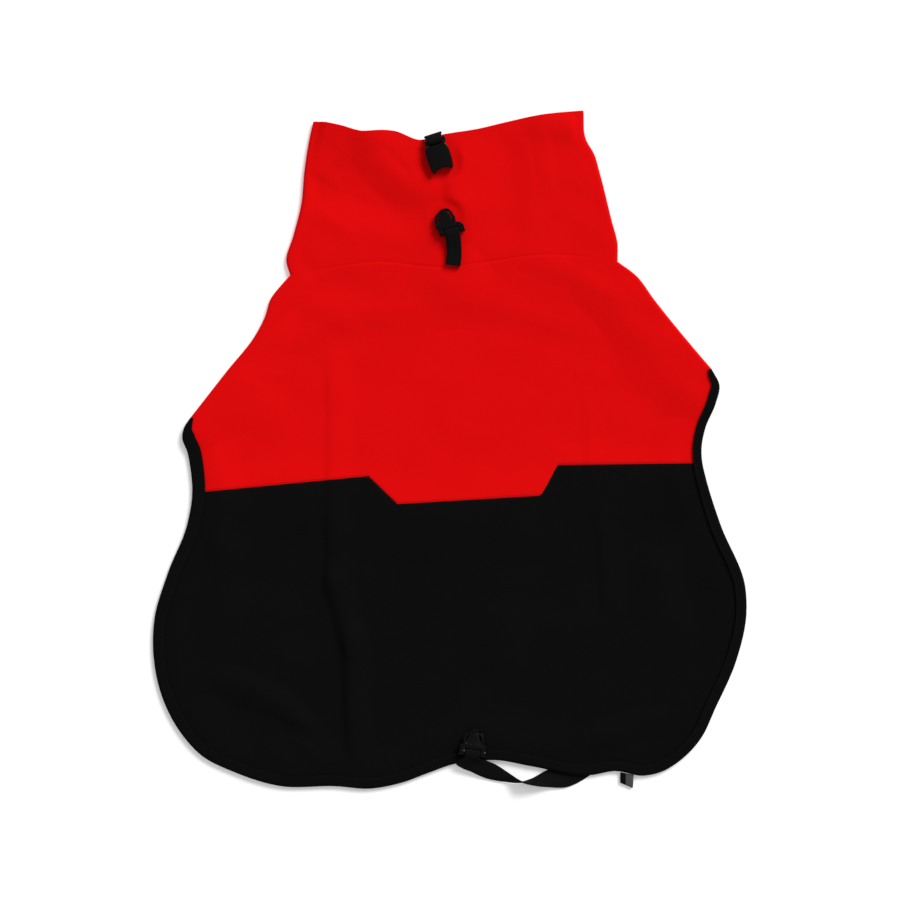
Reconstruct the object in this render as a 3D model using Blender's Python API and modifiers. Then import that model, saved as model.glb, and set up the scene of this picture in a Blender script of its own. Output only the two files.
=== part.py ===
"""A dog raincoat laid flat with its back up and its collar at +Y.

Sizes are in millimetres and are scaled to metres as each mesh is made. The origin is
the middle of the coat on the surface that it lies on, +X is to the right as it is
looked down on, and +Z is up. The coat lies a little askew, as real cloth does.
"""

import math

import bmesh
import bpy
import numpy as np
from mathutils import Matrix, Vector

MM = 0.001
WELD = 0.00001

# ---------------------------------------------------------------- driving sizes
CLOTH = 1.2  # wall of the coated softshell
SEAM_GAP = 0.3
FOLD_HEIGHT = 4.0  # two walls and the air between them, over a side fold
FOLD_REACH = 2.5  # how far a side fold curves in from its outermost line
TURN_UNDER = 7.0  # how far the back cloth runs in under the coat
BINDING_WALL = 1.0
BINDING_LIFT = 1.3  # the bound edge stands on the binding's lower leg
EDGE_INSET = 2.0  # from the binding's outer edge to the cloth inside it
WEBBING = 1.0
WEBBING_WIDTH = 10.0
BAR_RADIUS = 1.2  # web bar of every buckle half
LOOP_RADIUS = 2.0  # middle of the webbing where it goes round a bar

# How the cloth eases down. Each pair: the distance up to which it is held up by what
# lies under it, and the distance at which it is down.
CHEST_EASE = (2.0, 24.0)  # past the chest panel's hidden lower edge
FOLD_EASE = (9.0, 36.0)  # from a side fold
EDGE_EASE = (11.0, 25.0)  # from the bound edge
# Folds die away between these distances from a side fold and from the bound edge.
FOLDS_FROM_FOLD = (2.5, 14.5)
FOLDS_FROM_EDGE = (10.0, 22.0)

SECTION_ROWS = 12  # rows of the yoke from the neck seam to the wing corners
LEG_ROWS = 9  # rows of the yoke beside the bound leg edges
REAR_ROWS = 20
COLLAR_ROWS = 11
COLLAR_COLUMNS = 28
HIDDEN_COLUMNS = 14  # of the flat throat and chest panels
RELAX_PASSES = 160
SHARP_EDGE = 35.0  # degrees from which an edge is shaded as a corner

# ------------------------------------------------- outlines, columns x and y, mm
COLLAR_TOP = (
    (-91.0, 218.5), (-80.3, 216.5), (-64.3, 212.5), (-40.3, 212.5), (-20.3, 206.4),
    (-6.3, 209.7), (19.7, 213.9), (43.7, 219.2), (67.7, 223.9), (89.0, 225.9),
)
COLLAR_LEFT = (
    (-106.3, 116.4), (-109.0, 125.2), (-104.3, 142.5), (-99.0, 163.9),
    (-97.0, 185.2), (-93.7, 206.5), (-91.0, 218.5),
)
COLLAR_RIGHT = (
    (111.7, 125.4), (111.7, 137.2), (107.7, 153.2), (99.7, 185.2), (96.4, 196.5),
    (90.6, 207.0), (89.0, 225.9),
)
NECK_SEAM = (
    (-106.3, 116.2), (-79.7, 121.5), (-52.3, 125.2), (-3.7, 121.9), (25.0, 125.2),
    (59.7, 129.9), (87.0, 129.2), (111.7, 125.3),
)
LEFT_FOLD = (
    (-106.3, 116.0), (-111.7, 110.5), (-119.7, 99.9), (-123.0, 89.2), (-128.3, 78.5),
    (-149.0, 51.9), (-173.0, 21.2),
)
RIGHT_FOLD = (
    (111.7, 125.2), (124.3, 115.9), (136.3, 99.9), (162.3, 67.9), (174.3, 53.9),
)
# The bound edge, from the left wing corner down, round the hem and up to the right.
BOUND_EDGE = (
    (-173.0, 21.2), (-177.2, 14.5), (-178.3, 8.0), (-175.0, -1.5), (-173.0, -12.0),
    (-171.7, -27.9), (-175.0, -49.5), (-187.7, -81.5), (-197.0, -113.5),
    (-197.7, -134.8), (-191.0, -166.8), (-179.7, -188.1), (-165.0, -204.1),
    (-143.7, -214.8), (-113.0, -224.1), (-76.3, -224.2), (-53.0, -225.8),
    (-33.0, -222.1), (-13.0, -214.8), (2.0, -209.6), (16.0, -207.5), (30.3, -206.8),
    (53.7, -210.8), (93.7, -216.8), (110.3, -214.1), (129.0, -217.2),
    (140.3, -214.8), (153.7, -206.8), (167.0, -192.8), (177.0, -172.1),
    (191.0, -140.1), (197.7, -108.1), (197.0, -92.1), (180.3, -49.5), (170.3, -17.5),
    (168.3, -8.6), (167.7, -1.5), (170.3, 14.5), (177.0, 30.5), (179.6, 43.0),
    (174.3, 53.9),
)
# Columns x, y, and how many grid columns run on to the next corner.
CONTRAST_SEAM = (
    (-171.7, -27.9, 12), (-54.3, -17.5, 3), (-35.0, -36.1, 10), (61.0, -30.5, 3),
    (71.7, -10.1, 10), (168.3, -8.6, 0),
)
# Columns: station along the bound edge from 0 to 1, width of the binding.
BINDING_WIDTHS = ((0.0, 8.0), (0.05, 9.0), (0.12, 8.0), (0.88, 7.0), (1.0, 6.0))
# Stations of the binding's sections. Columns: first, last, count.
BINDING_RUNS = ((0.005, 0.075, 13), (0.085, 0.93, 74), (0.938, 0.9965, 11))
# Where the rear panel's side edges turn into its hem.
REAR_LEFT_CORNER, REAR_RIGHT_CORNER = (-176.0, -192.8), (163.0, -197.5)
# The hidden lower edge of the chest panel, from wing to wing.
CHEST_EDGE = (
    (-166.0, 21.6), (-133.0, 56.5), (-100.0, 81.0), (-63.0, 94.5), (-13.0, 101.0),
    (34.0, 100.0), (74.0, 88.0), (127.0, 69.5), (167.0, 53.4),
)
# Largest folds. Columns: start x, y, end x, y, sideways bow, half width, height.
FOLDS = (
    (-82.0, 208.0, -12.0, 160.0, 0.0, 17.0, -1.2),
    (-92.0, 184.0, -40.0, 150.0, -4.0, 13.0, 1.4),
    (-50.0, 200.0, -26.0, 168.0, 3.0, 9.0, 1.5),
    (10.0, 196.0, 16.0, 152.0, 2.0, 11.0, 1.3),
    (50.0, 188.0, 88.0, 170.0, -3.0, 12.0, -1.1),
    (36.0, 216.0, 46.0, 186.0, 0.0, 9.0, 1.3),
    (66.0, 162.0, 96.0, 146.0, 3.0, 14.0, 1.2),
    (38.0, 116.0, 162.0, 24.0, 24.0, 19.0, -1.2),
    (30.0, 100.0, 150.0, 4.0, 22.0, 16.0, 1.7),
    (96.0, 116.0, 168.0, 46.0, 5.0, 14.0, 1.6),
    (-84.0, 112.0, -46.0, 96.0, 4.0, 14.0, -1.1),
    (-96.0, 96.0, -62.0, 74.0, 4.0, 13.0, 1.4),
    (-82.0, 68.0, -80.0, -96.0, 1.0, 14.0, 1.7),
    (-150.0, 38.0, -106.0, 2.0, -6.0, 17.0, 1.9),
    (92.0, 36.0, 95.0, -40.0, 2.0, 10.0, 1.3),
    (-70.0, -86.0, -62.0, -204.0, -2.0, 11.0, 2.3),
    (104.0, -40.0, 106.0, -110.0, 2.0, 12.0, 1.3),
    (-168.0, -150.0, -84.0, -206.0, 14.0, 13.0, 1.8),
    (-150.0, -50.0, -160.0, -128.0, 6.0, 18.0, 1.5),
    (138.0, -58.0, 160.0, -140.0, -8.0, 22.0, 1.5),
    (84.0, -204.0, 152.0, -178.0, 6.0, 12.0, 1.4),
    (22.0, -70.0, 34.0, -160.0, 4.0, 26.0, 1.0),
)

# --------------------------------------------------- buckle halves and webbing, mm
# Middle of each web bar, the way its half points in degrees from +Y, and its tilt.
NECK_BAR, NECK_LEAN, NECK_TILT = (1.3, 145.5), 13.0, -1.5
COLLAR_BAR, COLLAR_LEAN = (-10.0, 205.5), 198.0
HEM_BAR, HEM_LEAN, HEM_TILT = (15.0, -201.5), -7.0, -5.0
NECK_TAB_FOOT = (2.1, 122.6)
TAIL_STRAP_END = 5.0  # doubled end of the strap past the bar
LUG_INNER = 5.3
LUG_RADIUS = 2.0
LUG_BACK = 0.3  # how far a lug's block reaches back past the bar's middle
LUG_EASE = 0.1  # the block is this much narrower than its round eye on either side
WALL_NEAR, WALL_FAR = 3.3, 6.2
WALL_CHAMFER = 0.8
PLUG_HALF_WIDTH = 8.7
PLUG_THICKNESS = 3.4
ARCH_HALF_WIDTH, ARCH_TIP = 7.4, 18.0
ARCH_BAND = 1.9
ARCH_STEP = 0.3  # the arms are this much lower than the wall on both faces
TONGUE_HALF_WIDTH, TONGUE_TIP = 4.6, 12.6
TONGUE_STEP = 0.5
SOCKET_THICKNESS = 6.0
SOCKET_ROUNDING = 0.9
SOCKET_CAVITY, SOCKET_BACK_WALL = 3.6, 7.2
SOCKET_MOUTH_HALF = 6.6
# Columns: distance from the bar, half width of the socket.
SOCKET_PROFILE = ((3.3, 6.9), (5.2, 8.6), (8.0, 9.2), (14.0, 9.2), (18.5, 8.5), (20.6, 7.2))
SOCKET_MOUTH = ((4.0, 18.8), (0.0, 18.2), (-4.0, 18.8))
WINDOW_NEAR, WINDOW_FAR, WINDOW_HEIGHT = 10.6, 15.2, 2.6
JOIN = 1.0  # how far joined shapes reach into each other, and cuts past a face

# Webbing round a bar: its middle from the bar's axis, below and above.
LOWER = -LOOP_RADIUS
UPPER = LOWER + WEBBING + SEAM_GAP
# Columns: back along the tab from the bar, up from its axis.
NECK_TAB_RETURN = ((5.0, 1.4), (10.0, 0.2), (16.0, UPPER + 0.1))
# Where the tail strap goes from its bar. Columns: edge on the garment's left or
# outer side x, y, z, then the other edge x, y, z.
TAIL_STRAP = (
    (9.0, -208.6, 5.1, 23.2, -206.4, 5.1),
    (14.3, -213.8, 3.0, 30.3, -209.3, 3.2),
    (25.0, -218.6, 0.9, 39.0, -214.7, 3.0),
    (37.0, -220.7, 0.7, 44.3, -218.4, 6.6),
    (47.8, -221.3, 0.7, 48.7, -221.0, 10.2),
    (56.3, -218.3, 0.7, 54.8, -223.6, 8.0),
    (66.5, -214.5, 0.7, 66.2, -224.6, 2.4),
    (74.5, -215.7, 0.6, 77.3, -224.6, 0.9),
    (83.5, -217.0, 0.6, 87.2, -221.6, 0.6),
    (90.0, -218.1, 0.6, 93.0, -219.2, 0.6),
)
HEM_TAB_LEFT, HEM_TAB_RIGHT = (113.5, -215.0), (122.4, -216.6)
HEM_TAB_TIPS = ((113.6, -222.0), (122.2, -225.3))


# ----------------------------------------------------------------- scene and looks
for leftover in list(bpy.data.objects):
    bpy.data.objects.remove(leftover, do_unlink=True)

coat = bpy.data.collections.new("dog_raincoat")
cutters = bpy.data.collections.new("cutters")
bpy.context.scene.collection.children.link(coat)
bpy.context.scene.collection.children.link(cutters)


def finish(name, colour, roughness):
    material = bpy.data.materials.new(name)
    material.use_nodes = True
    shader = material.node_tree.nodes["Principled BSDF"]
    shader.inputs["Base Color"].default_value = (*colour, 1.0)
    shader.inputs["Roughness"].default_value = roughness
    shader.inputs["Metallic"].default_value = 0.0
    return material


RED_CLOTH = ("red_softshell", (0.708, 0.0044, 0.0048), 0.75)
BLACK_CLOTH = ("black_softshell", (0.0048, 0.0048, 0.0048), 0.8)
BLACK_BINDING = ("black_binding", (0.006, 0.006, 0.006), 0.85)
BLACK_WEBBING = ("black_webbing", (0.012, 0.012, 0.012), 0.85)
BLACK_PLASTIC = ("black_plastic", (0.01, 0.01, 0.011), 0.35)


# ------------------------------------------------------------------ lines and grids
def smooth(points, steps=14):
    """Points along a soft line through the given ones."""
    knots = np.array(points, float)
    at = np.concatenate([[0], np.cumsum(np.linalg.norm(np.diff(knots, axis=0), axis=1))])
    slope = np.gradient(knots, at, axis=0)
    line = []
    for i in range(len(knots) - 1):
        span = at[i + 1] - at[i]
        for s in np.arange(steps) / steps:
            line.append(
                (2 * s**3 - 3 * s**2 + 1) * knots[i]
                + (s**3 - 2 * s**2 + s) * span * slope[i]
                + (3 * s**2 - 2 * s**3) * knots[i + 1]
                + (s**3 - s**2) * span * slope[i + 1]
            )
    return np.array([*line, knots[-1]])


def lengths(line):
    return np.concatenate([[0], np.cumsum(np.linalg.norm(np.diff(line, axis=0), axis=1))])


def along(line, fractions):
    """Points of a line at fractions of its length."""
    at = lengths(line)
    fractions = np.asarray(fractions) * at[-1]
    return np.stack([np.interp(fractions, at, line[:, k]) for k in range(line.shape[1])], -1)


def inset(line, distance):
    """A line moved to its left as it runs, with mitred corners."""
    way = np.diff(line, axis=0)
    way /= np.linalg.norm(way, axis=1)[:, None]
    side = np.stack([-way[:, 1], way[:, 0]], -1)
    before, after = np.vstack([side[:1], side]), np.vstack([side, side[-1:]])
    mean = before + after
    mean /= np.linalg.norm(mean, axis=1)[:, None]
    return line + mean * (distance / (mean * before).sum(1))[:, None]


def station(line, point):
    """How far along a line its nearest point to the given one is, from 0 to 1."""
    nearest = np.linalg.norm(line - np.array(point), axis=1).argmin()
    return lengths(line)[nearest] / lengths(line)[-1]


def distance(points, line):
    flat = points.reshape(-1, 2)
    away = np.linalg.norm(flat[:, None] - line[None], axis=2).min(axis=1)
    return away.reshape(points.shape[:-1])


def flat(points, height):
    """Points of the plan at one height."""
    return np.concatenate([points, np.full((*points.shape[:-1], 1), height)], -1)


def fade(x):
    x = np.clip(x, 0.0, 1.0)
    return x * x * (3 - 2 * x)


def near(away, ease):
    """1 up to the first distance, fading to 0 at the second."""
    first, last = ease
    return fade((last - away) / (last - first))


def patch(top, bottom, left, right):
    """A grid of rows that fills four border lines; top and bottom share a count."""
    u = np.linspace(0, 1, len(top))[None, :, None]
    v = np.linspace(0, 1, len(left))[:, None, None]
    across = (1 - v) * top[None] + v * bottom[None]
    down = (1 - u) * left[:, None] + u * right[:, None]
    corners = (1 - v) * ((1 - u) * top[0] + u * top[-1]) + v * (
        (1 - u) * bottom[0] + u * bottom[-1]
    )
    return across + down - corners


def relaxed(grid):
    """The same grid with its inner points evened out between the borders."""
    grid = grid.copy()
    for _ in range(RELAX_PASSES):
        grid[1:-1, 1:-1] = (
            grid[:-2, 1:-1] + grid[2:, 1:-1] + grid[1:-1, :-2] + grid[1:-1, 2:]
        ) / 4
    return grid


# --------------------------------------------------------------- the lie of the cloth
neck_seam = smooth(NECK_SEAM)
left_fold, right_fold = smooth(LEFT_FOLD), smooth(RIGHT_FOLD)
collar_left, collar_right = smooth(COLLAR_LEFT), smooth(COLLAR_RIGHT)
collar_top = smooth(COLLAR_TOP)
bound_edge = smooth(BOUND_EDGE)
chest_edge = smooth(CHEST_EDGE)
side_folds = np.vstack([collar_left, left_fold, collar_right, right_fold])


def relief(points):
    """Height of the folds at some points: soft ridges and troughs of limited width."""
    total = np.zeros(points.shape[:-1])
    for x0, y0, x1, y1, bow, half_width, height in FOLDS:
        start, run = np.array([x0, y0]), np.array([x1 - x0, y1 - y0])
        length = np.linalg.norm(run)
        run = run / length
        t = ((points - start) @ run) / length
        off = (points - start) @ np.array([-run[1], run[0]]) - 4 * bow * t * (1 - t)
        ends = fade((t + 0.1) / 0.35) * fade((1.1 - t) / 0.35)
        total += height * ends * np.clip(1 - (off / half_width) ** 2, 0, 1) ** 2
    return total


def surface(points):
    """Height of the cloth's outer face above the surface that the coat lies on."""
    to_fold = distance(points, side_folds)
    to_edge = distance(points, bound_edge)
    below = np.interp(points[..., 0], chest_edge[:, 0], chest_edge[:, 1]) - points[..., 1]
    doubled = np.maximum(near(below, CHEST_EASE), near(to_fold, FOLD_EASE))
    bound_lift = BINDING_LIFT * near(to_edge, EDGE_EASE)
    lift = np.maximum((FOLD_HEIGHT - CLOTH) * doubled, bound_lift)
    lowest = np.maximum((CLOTH + SEAM_GAP) * doubled, bound_lift)
    clear = (1 - near(to_fold, FOLDS_FROM_FOLD)) * (1 - near(to_edge, FOLDS_FROM_EDGE))
    return CLOTH + np.maximum(lift + relief(points) * clear, lowest)


def raised(points):
    """Points of the plan with their height on the outer face."""
    return np.concatenate([points, surface(points)[..., None]], -1)


# ------------------------------------------------------------------------ cloth nodes
def lay_out(shape, grid):
    """Adds a grid of faces through rows of points and returns its vertices by place."""
    rows, columns = len(grid) - 1, len(grid[0]) - 1
    made = bmesh.ops.create_grid(shape, x_segments=columns, y_segments=rows, size=0.5)
    placed = {}
    for vert in made["verts"]:
        row, column = round((0.5 - vert.co.y) * rows), round((vert.co.x + 0.5) * columns)
        vert.co = Vector(grid[row][column]) * MM
        placed[row, column] = vert
    return placed


def node(name, shape, look):
    """Puts a finished shape in the coat's collection under its name."""
    mesh = bpy.data.meshes.new(name)
    shape.to_mesh(mesh)
    shape.free()
    mesh.shade_smooth()
    mesh.set_sharp_from_angle(angle=math.radians(SHARP_EDGE))
    mesh.materials.append(bpy.data.materials.get(look[0]) or finish(*look))
    piece = bpy.data.objects.new(name, mesh)
    coat.objects.link(piece)
    return piece


def cloth(name, grids, look):
    """A wall of cloth behind grids of outer points, welded where the grids meet.

    Each grid comes with the way through the wall at each of its points. Rows run
    towards -Y and columns towards +X where the grid looks up.
    """
    shape = bmesh.new()
    through = shape.verts.layers.float_vector.new("through")
    for points, ways in grids:
        for place, vert in lay_out(shape, points).items():
            vert[through] = Vector(ways[place]) * MM
    bmesh.ops.remove_doubles(shape, verts=shape.verts, dist=WELD)
    inner = bmesh.ops.extrude_face_region(shape, geom=shape.faces[:], use_keep_orig=True)
    for item in inner["geom"]:
        if isinstance(item, bmesh.types.BMVert):
            item.co += item[through]
    bmesh.ops.recalc_face_normals(shape, faces=shape.faces)
    return node(name, shape, look)


def strip(name, grid, look, wall, side):
    """A strip of webbing or binding through rows of points, given its wall."""
    shape = bmesh.new()
    lay_out(shape, grid)
    piece = node(name, shape, look)
    thicken = piece.modifiers.new("wall", "SOLIDIFY")
    thicken.thickness = wall * MM
    thicken.offset = side
    return piece


def downwards(points):
    """The way straight down through a wall of cloth, for each point."""
    return np.broadcast_to((0.0, 0.0, -CLOTH), points.shape)


def turned_under(left, right):
    """Columns of points that carry each row round its side folds and in beneath.

    left and right are the fold lines' points, a pair for each row. The columns come
    as those before the row's own points and those after them, each with its ways
    through the wall.
    """
    way = right - left
    way = way / np.linalg.norm(way, axis=1)[:, None]
    radius = FOLD_HEIGHT / 2
    turns = [math.radians(degrees) for degrees in (-90, -54, -18, 18, 54)]
    steps = [(TURN_UNDER, 0.0, turns[0]), ((TURN_UNDER + FOLD_REACH) / 2, 0.0, turns[0])]
    for turn in turns:
        inwards, height = FOLD_REACH * (1 - math.cos(turn)), radius * (1 + math.sin(turn))
        steps.append((inwards, height, turn))
    sides = []
    for border, heading in ((left, way), (right, -way)):
        columns = []
        for inwards, height, turn in steps:
            point = flat(border + heading * inwards, height)
            into = flat(heading * CLOTH * math.cos(turn), -CLOTH * math.sin(turn))
            columns.append((point, into))
        points, ways = (np.stack(part, 1) for part in zip(*columns))
        sides.append((points, ways))
    before, after = sides
    return before, tuple(part[:, ::-1] for part in after)


def wrapped(rows, before, after):
    """A grid of rows with the columns of its side folds on either hand."""
    points = np.concatenate([before[0], rows, after[0]], 1)
    ways = np.concatenate([before[1], downwards(rows), after[1]], 1)
    return points, ways


def inner_border(left, right):
    """Where the side folds flatten into the upper face, and the turned edges below."""
    way = right - left
    way = way / np.linalg.norm(way, axis=1)[:, None]
    return (
        (left + way * FOLD_REACH, right - way * FOLD_REACH),
        (left + way * (TURN_UNDER + SEAM_GAP), right - way * (TURN_UNDER + SEAM_GAP)),
    )


def fitted(line, first, last, fractions):
    """A border line read at fractions and pulled to end at two given points."""
    points = along(line, fractions)
    share = np.asarray(fractions)[:, None]
    return points + (1 - share) * (first - points[0]) + share * (last - points[-1])


# The collar: its back goes round both side folds, and the throat closes it below.
rows = np.linspace(1, 0, COLLAR_ROWS + 1)
columns = np.linspace(0, 1, COLLAR_COLUMNS + 1)
left, right = along(collar_left, rows), along(collar_right, rows)
(upper_left, upper_right), (lower_left, lower_right) = inner_border(left, right)
seam_above = inset(neck_seam, SEAM_GAP / 2)
top = fitted(collar_top, upper_left[0], upper_right[0], columns)
foot = fitted(seam_above, upper_left[-1], upper_right[-1], columns)
back = raised(patch(top, foot, upper_left, upper_right))
cloth("collar", [wrapped(back, *turned_under(left, right))], RED_CLOTH)

throat_columns = np.linspace(0, 1, HIDDEN_COLUMNS + 1)
top = fitted(collar_top, lower_left[0], lower_right[0], throat_columns)
foot = fitted(seam_above, lower_left[-1], lower_right[-1], throat_columns)
throat = flat(patch(top, foot, lower_left, lower_right), CLOTH)
cloth("collar_throat", [(throat, downwards(throat))], RED_CLOTH)

# The yoke: it turns under at the diagonal folds down to the wing corners, and below
# them it ends in the binding beside the leg openings.
rows = np.linspace(0, 1, SECTION_ROWS + 1)
left, right = along(left_fold, rows), along(right_fold, rows)
(upper_left, upper_right), (lower_left, lower_right) = inner_border(left, right)
bound = inset(bound_edge, EDGE_INSET)
left_seam = station(bound_edge, CONTRAST_SEAM[0][:2])
right_seam = station(bound_edge, CONTRAST_SEAM[-1][:2])
half_gap = SEAM_GAP / 2 / lengths(bound)[-1]
leg = np.linspace(0, 1, LEG_ROWS + 1)[1:]
left_leg = along(bound, leg * (left_seam - half_gap))
right_leg = along(bound, 1 - leg * (1 - right_seam - half_gap))
seam_corners = np.array([corner[:2] for corner in CONTRAST_SEAM])
seam_corners[[0, -1]] = along(bound, [left_seam, right_seam])
contrast = []
for i, (_, _, count) in enumerate(CONTRAST_SEAM[:-1]):
    for step in np.arange(count) / count:
        contrast.append((1 - step) * seam_corners[i] + step * seam_corners[i + 1])
contrast = np.array([*contrast, seam_corners[-1]])
across = np.linspace(0, 1, len(contrast))
top = fitted(inset(neck_seam, -SEAM_GAP / 2), upper_left[0], upper_right[0], across)
yoke = patch(
    top,
    inset(contrast, SEAM_GAP / 2),
    np.vstack([upper_left, left_leg]),
    np.vstack([upper_right, right_leg]),
)
yoke = raised(yoke)
upper = wrapped(yoke[: SECTION_ROWS + 1], *turned_under(left, right))
lower = yoke[SECTION_ROWS:]
cloth("back_yoke", [upper, (lower, downwards(lower))], RED_CLOTH)

chest_columns = np.linspace(0, 1, HIDDEN_COLUMNS + 1)
top = fitted(inset(neck_seam, -SEAM_GAP / 2), lower_left[0], lower_right[0], chest_columns)
foot = fitted(chest_edge, lower_left[-1], lower_right[-1], chest_columns)
chest = flat(patch(top, foot, lower_left, lower_right), CLOTH)
cloth("chest_panel", [(chest, downwards(chest))], RED_CLOTH)

# The rear panel hangs from the contrast seam, and its other three sides are bound.
low_left = station(bound_edge, REAR_LEFT_CORNER)
low_right = station(bound_edge, REAR_RIGHT_CORNER)
down = np.linspace(0, 1, REAR_ROWS + 1)
left = along(bound, np.interp(down, (0, 1), (left_seam + half_gap, low_left)))
right = along(bound, np.interp(down, (0, 1), (right_seam - half_gap, low_right)))
hem = along(bound, low_left + across * (low_right - low_left))
top = inset(contrast, -SEAM_GAP / 2)
rear = raised(relaxed(patch(top, hem, left, right)))
cloth("rear_panel", [(rear, downwards(rear))], BLACK_CLOTH)

# One strip of binding folded over the whole bound edge, from wing to wing.
stations = np.concatenate([np.linspace(*run) for run in BINDING_RUNS])
edge = along(bound_edge, stations)
inwards = along(inset(bound_edge, 1.0), stations) - edge
inwards /= np.linalg.norm(inwards, axis=1)[:, None]
width = np.interp(stations, *np.array(BINDING_WIDTHS).T)[:, None]
half = CLOTH / 2 + SEAM_GAP + BINDING_WALL
binding = []
for reach, turn in ((None, -90), (half, -90), (0, -30), (0, 30), (half, 90), (None, 90)):
    turn = math.radians(turn)
    deep = width if reach is None else half * (1 - math.cos(turn))
    spot = edge + inwards * deep
    on_cloth = edge + inwards * np.maximum(deep, EDGE_INSET)
    height = surface(on_cloth) - CLOTH / 2 + half * math.sin(turn)
    binding.append(np.hstack([spot, height[:, None]]))
strip("edge_binding", np.stack(binding, 1), BLACK_BINDING, BINDING_WALL, -1.0)


# ------------------------------------------------------------------- buckle halves
def solid(name, shape, pivot, lean, tilt):
    """A hard piece with its origin on its web bar, turned by its lean and its tilt."""
    piece = node(name, shape, BLACK_PLASTIC)
    turn = Matrix.Rotation(math.radians(lean), 4, "Z") @ Matrix.Rotation(
        math.radians(tilt), 4, "X"
    )
    piece.matrix_world = Matrix.Translation(Vector(pivot) * MM) @ turn
    return piece


def prism(outline, low, high):
    """A bmesh of a flat outline between two heights."""
    shape = bmesh.new()
    base = shape.faces.new([shape.verts.new((x * MM, y * MM, low * MM)) for x, y in outline])
    raised_face = bmesh.ops.extrude_face_region(shape, geom=[base])
    tops = [item for item in raised_face["geom"] if isinstance(item, bmesh.types.BMVert)]
    bmesh.ops.translate(shape, verts=tops, vec=(0, 0, (high - low) * MM))
    bmesh.ops.recalc_face_normals(shape, faces=shape.faces)
    return shape


def tool(name, shape, piece, operation):
    """Joins a shape to a piece, or cuts it out of it, in the piece's own frame."""
    mesh = bpy.data.meshes.new(name)
    shape.to_mesh(mesh)
    shape.free()
    cutter = bpy.data.objects.new(name, mesh)
    cutters.objects.link(cutter)
    cutter.hide_render = True
    cutter.display_type = "WIRE"
    cutter.matrix_world = piece.matrix_world
    joint = piece.modifiers.new(name, "BOOLEAN")
    joint.operation = operation
    joint.object = cutter


def rod(radius, half_length, sides=16):
    """A round bar along X."""
    shape = bmesh.new()
    bmesh.ops.create_cone(
        shape, cap_ends=True, segments=sides, radius1=radius * MM, radius2=radius * MM,
        depth=2 * half_length * MM, matrix=Matrix.Rotation(math.pi / 2, 4, "Y"),
    )
    return shape


def block(low, high):
    shape = bmesh.new()
    size = [(b - a) * MM for a, b in zip(low, high)]
    middle = [(a + b) / 2 * MM for a, b in zip(low, high)]
    bmesh.ops.create_cube(shape, size=1.0)
    bmesh.ops.scale(shape, verts=shape.verts, vec=size)
    bmesh.ops.translate(shape, verts=shape.verts, vec=middle)
    return shape


def arch(half_width, tip, foot, steps=14):
    """A rounded outline over the +Y end, open at its foot line."""
    turns = [math.pi * i / steps for i in range(steps + 1)]
    spring = tip - half_width * 1.15
    bow = [(half_width * math.cos(a), spring + (tip - spring) * math.sin(a)) for a in turns]
    return [(half_width * 0.86, foot), *bow, (-half_width * 0.86, foot)]


def web_end(piece, half_width):
    """The two lugs and the round bar that the webbing goes round."""
    half = PLUG_THICKNESS / 2
    for side in (-1, 1):
        ends = sorted((side * (LUG_INNER + LUG_EASE), side * (half_width - LUG_EASE)))
        lug = block((ends[0], -LUG_BACK, -half), (ends[1], WALL_NEAR + JOIN, half))
        tool(f"{piece.name}_lug{side}", lug, piece, "UNION")
        eye = rod(LUG_RADIUS, (half_width - LUG_INNER) / 2)
        shift = side * (half_width + LUG_INNER) / 2 * MM
        bmesh.ops.translate(eye, verts=eye.verts, vec=(shift, 0, 0))
        tool(f"{piece.name}_eye{side}", eye, piece, "UNION")
    tool(f"{piece.name}_bar", rod(BAR_RADIUS, LUG_INNER + JOIN), piece, "UNION")


def plug(name, pivot, lean, tilt):
    """The male half: a web end, two spring arms that meet in an arch, and a tongue."""
    shoulder = WALL_FAR - WALL_CHAMFER
    right_side = [
        (PLUG_HALF_WIDTH, WALL_NEAR), (PLUG_HALF_WIDTH, shoulder),
        (PLUG_HALF_WIDTH - 3 * WALL_CHAMFER, WALL_FAR),
    ]
    outline = [*right_side, *((-x, y) for x, y in right_side[::-1])]
    half = PLUG_THICKNESS / 2
    piece = solid(name, prism(outline, -half, half), pivot, lean, tilt)
    band = arch(ARCH_HALF_WIDTH, ARCH_TIP, WALL_FAR - JOIN)
    tool(f"{name}_arms", prism(band, -half + ARCH_STEP, half - ARCH_STEP), piece, "UNION")
    hollow = arch(ARCH_HALF_WIDTH - ARCH_BAND, ARCH_TIP - ARCH_BAND, WALL_FAR)
    tool(f"{name}_hollow", prism(hollow, -half - JOIN, half + JOIN), piece, "DIFFERENCE")
    tongue = block(
        (-TONGUE_HALF_WIDTH, WALL_FAR - JOIN, -half + TONGUE_STEP),
        (TONGUE_HALF_WIDTH, TONGUE_TIP, half - TONGUE_STEP),
    )
    tool(f"{name}_tongue", tongue, piece, "UNION")
    web_end(piece, PLUG_HALF_WIDTH)


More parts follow.
